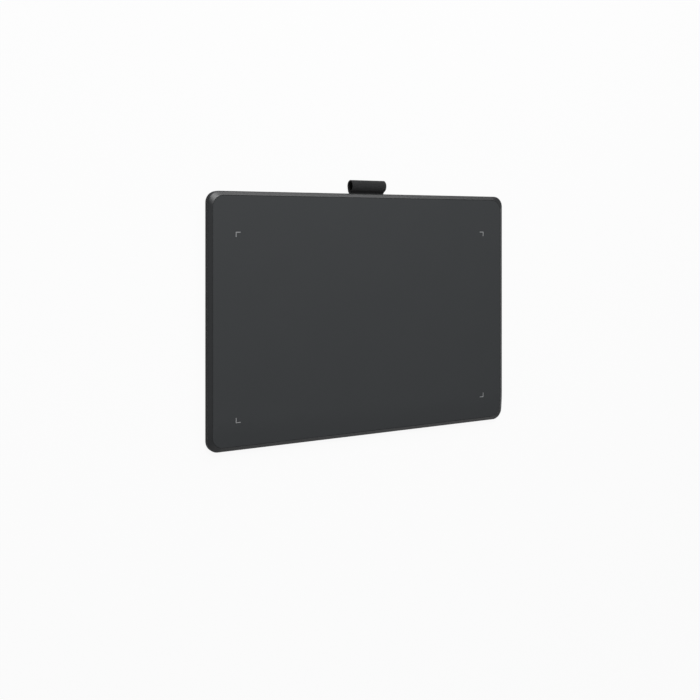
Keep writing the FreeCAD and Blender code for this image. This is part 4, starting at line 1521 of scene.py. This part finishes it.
@dataclass
class Studio:
    """The camera at the photograph's viewpoint, the white floor and the soft lamps.

    Attributes:
        focal_pixels: The focal length in the photograph's pixels.
        frame_pixels: The photograph's side in pixels.
        principal_y: The optical axis's row, counted from the top.
        turn_degrees: How far the camera turns about Y, away from looking straight down.
        eye: The camera's place in millimetres.
        floor_size: Half the floor's side in metres.
        floor_white: The floor's colour, under the lamps.
        floor_glow: How white it is to the camera and in reflections.
        world_light: The strength of the world's light on the object.
        world_tint: That light's colour, linear.
        softboxes: The lamps.
    """

    focal_pixels: float = 930.76
    frame_pixels: float = 700.0
    principal_y: float = 231.016
    turn_degrees: float = 28.768
    eye: tuple[float, float, float] = (-359.40, 59.50, 633.34)
    floor_size: float = 3.0
    floor_white: float = 0.82
    floor_glow: float = 0.93
    world_light: float = 0.15
    world_tint: Colour = (0.95, 0.97, 1.0)
    softboxes: tuple[Softbox, ...] = (
        Softbox("corner_softbox", (-0.13, 0.53, 0.83), 0.32, 0.28, 6.3),
        Softbox("rear_softbox", (0.24, 0.80, 0.54), 0.9, 0.4, 4.6),
        Softbox("front_fill", (0.49, -0.84, 0.28), 0.8, 0.4, 0.65, far=1.1),
        Softbox("left_fill", (-0.56, -0.14, 0.82), 0.6, 0.6, 0.25),
        Softbox("left_corner_fill", (-0.12, -0.84, 0.52), 0.8, 0.35, 0.5),
    )

    def build_camera(self) -> bpy.types.Object:
        """Place the camera.

        Returns:
            The camera's object.
        """
        data = bpy.data.cameras.new("photo_camera")
        data.sensor_width = 36.0
        data.lens = self.focal_pixels / self.frame_pixels * data.sensor_width
        data.shift_y = (self.principal_y - self.frame_pixels / 2) / self.frame_pixels
        data.clip_end = 20.0
        camera = bpy.data.objects.new("photo_camera", data)
        bpy.context.scene.collection.objects.link(camera)
        turn = math.radians(self.turn_degrees)
        camera.matrix_world = Matrix.Translation(Vector(self.eye) * MM) @ Matrix.Rotation(-turn, 4, "Y")
        bpy.context.scene.camera = camera
        return camera

    def floor_material(self) -> bpy.types.Material:
        """White to the eye and in reflections, and still holding the object's shadow.

        Returns:
            The material.
        """
        material = bpy.data.materials.new("white_floor")
        material.use_nodes = True
        net = Net(material.node_tree)
        material.node_tree.nodes.clear()
        out = net.add("ShaderNodeOutputMaterial")
        matt = net.add("ShaderNodeBsdfDiffuse")
        matt.inputs["Color"].default_value = (*(self.floor_white,) * 3, 1.0)
        glow = net.add("ShaderNodeEmission")
        glow.inputs["Color"].default_value = (1.0, 1.0, 1.0, 1.0)
        path = net.add("ShaderNodeLightPath")
        seen = net.maths("MAXIMUM", path.outputs["Is Camera Ray"], path.outputs["Is Glossy Ray"])
        seen = net.maths("MAXIMUM", seen, path.outputs["Is Transmission Ray"])
        mix = net.add("ShaderNodeMixShader")
        net.join(net.maths("MULTIPLY", seen, self.floor_glow), mix.inputs[0])
        net.join(matt.outputs[0], mix.inputs[1])
        net.join(glow.outputs[0], mix.inputs[2])
        net.join(mix.outputs[0], out.inputs["Surface"])
        return material

    def build_floor(self) -> bpy.types.Object:
        """Lay the floor under the feet.

        Returns:
            The floor.
        """
        bm = bmesh.new()
        bmesh.ops.create_grid(bm, x_segments=1, y_segments=1, size=self.floor_size)
        mesh = bpy.data.meshes.new("floor")
        bm.to_mesh(mesh)
        bm.free()
        floor = bpy.data.objects.new("floor", mesh)
        bpy.context.scene.collection.objects.link(floor)
        floor.data.materials.append(self.floor_material())
        return floor

    def build_light(self) -> None:
        """Set the lamps, the world and the view."""
        for softbox in self.softboxes:
            softbox.build()
        world = bpy.data.worlds.new("studio")
        bpy.context.scene.world = world
        world.use_nodes = True
        backdrop = world.node_tree.nodes["Background"]
        backdrop.inputs["Color"].default_value = (*self.world_tint, 1.0)
        net = Net(world.node_tree)
        path = net.add("ShaderNodeLightPath")
        strength = net.ranged(path.outputs["Is Camera Ray"], self.world_light, 1.0)
        net.join(strength, backdrop.inputs["Strength"])
        bpy.context.scene.view_settings.view_transform = "Standard"

    def build(self) -> None:
        """Build the whole studio."""
        self.build_camera()
        self.build_floor()
        self.build_light()


def dress_inner_nodes() -> None:
    """Give the nodes that stay as packed the finish of their real stuff."""
    for node, finish in NODE_FINISHES.items():
        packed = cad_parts[node]
        packed.data.materials.clear()
        packed.data.materials.append(finish.material())
        log.info("dressed %s with %s", node, finish.name)


def main() -> None:
    """Build the studio and the tablet."""
    Studio().build()
    Covers().build()
    CornerMarks().build()
    for node in sorted(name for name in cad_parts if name.startswith("foot_")):
        Foot().build(node)
    HousingScrews().build()
    RearEdge().build()
    PenLoop().build()
    dress_inner_nodes()


if __name__ == "__main__":
    main()
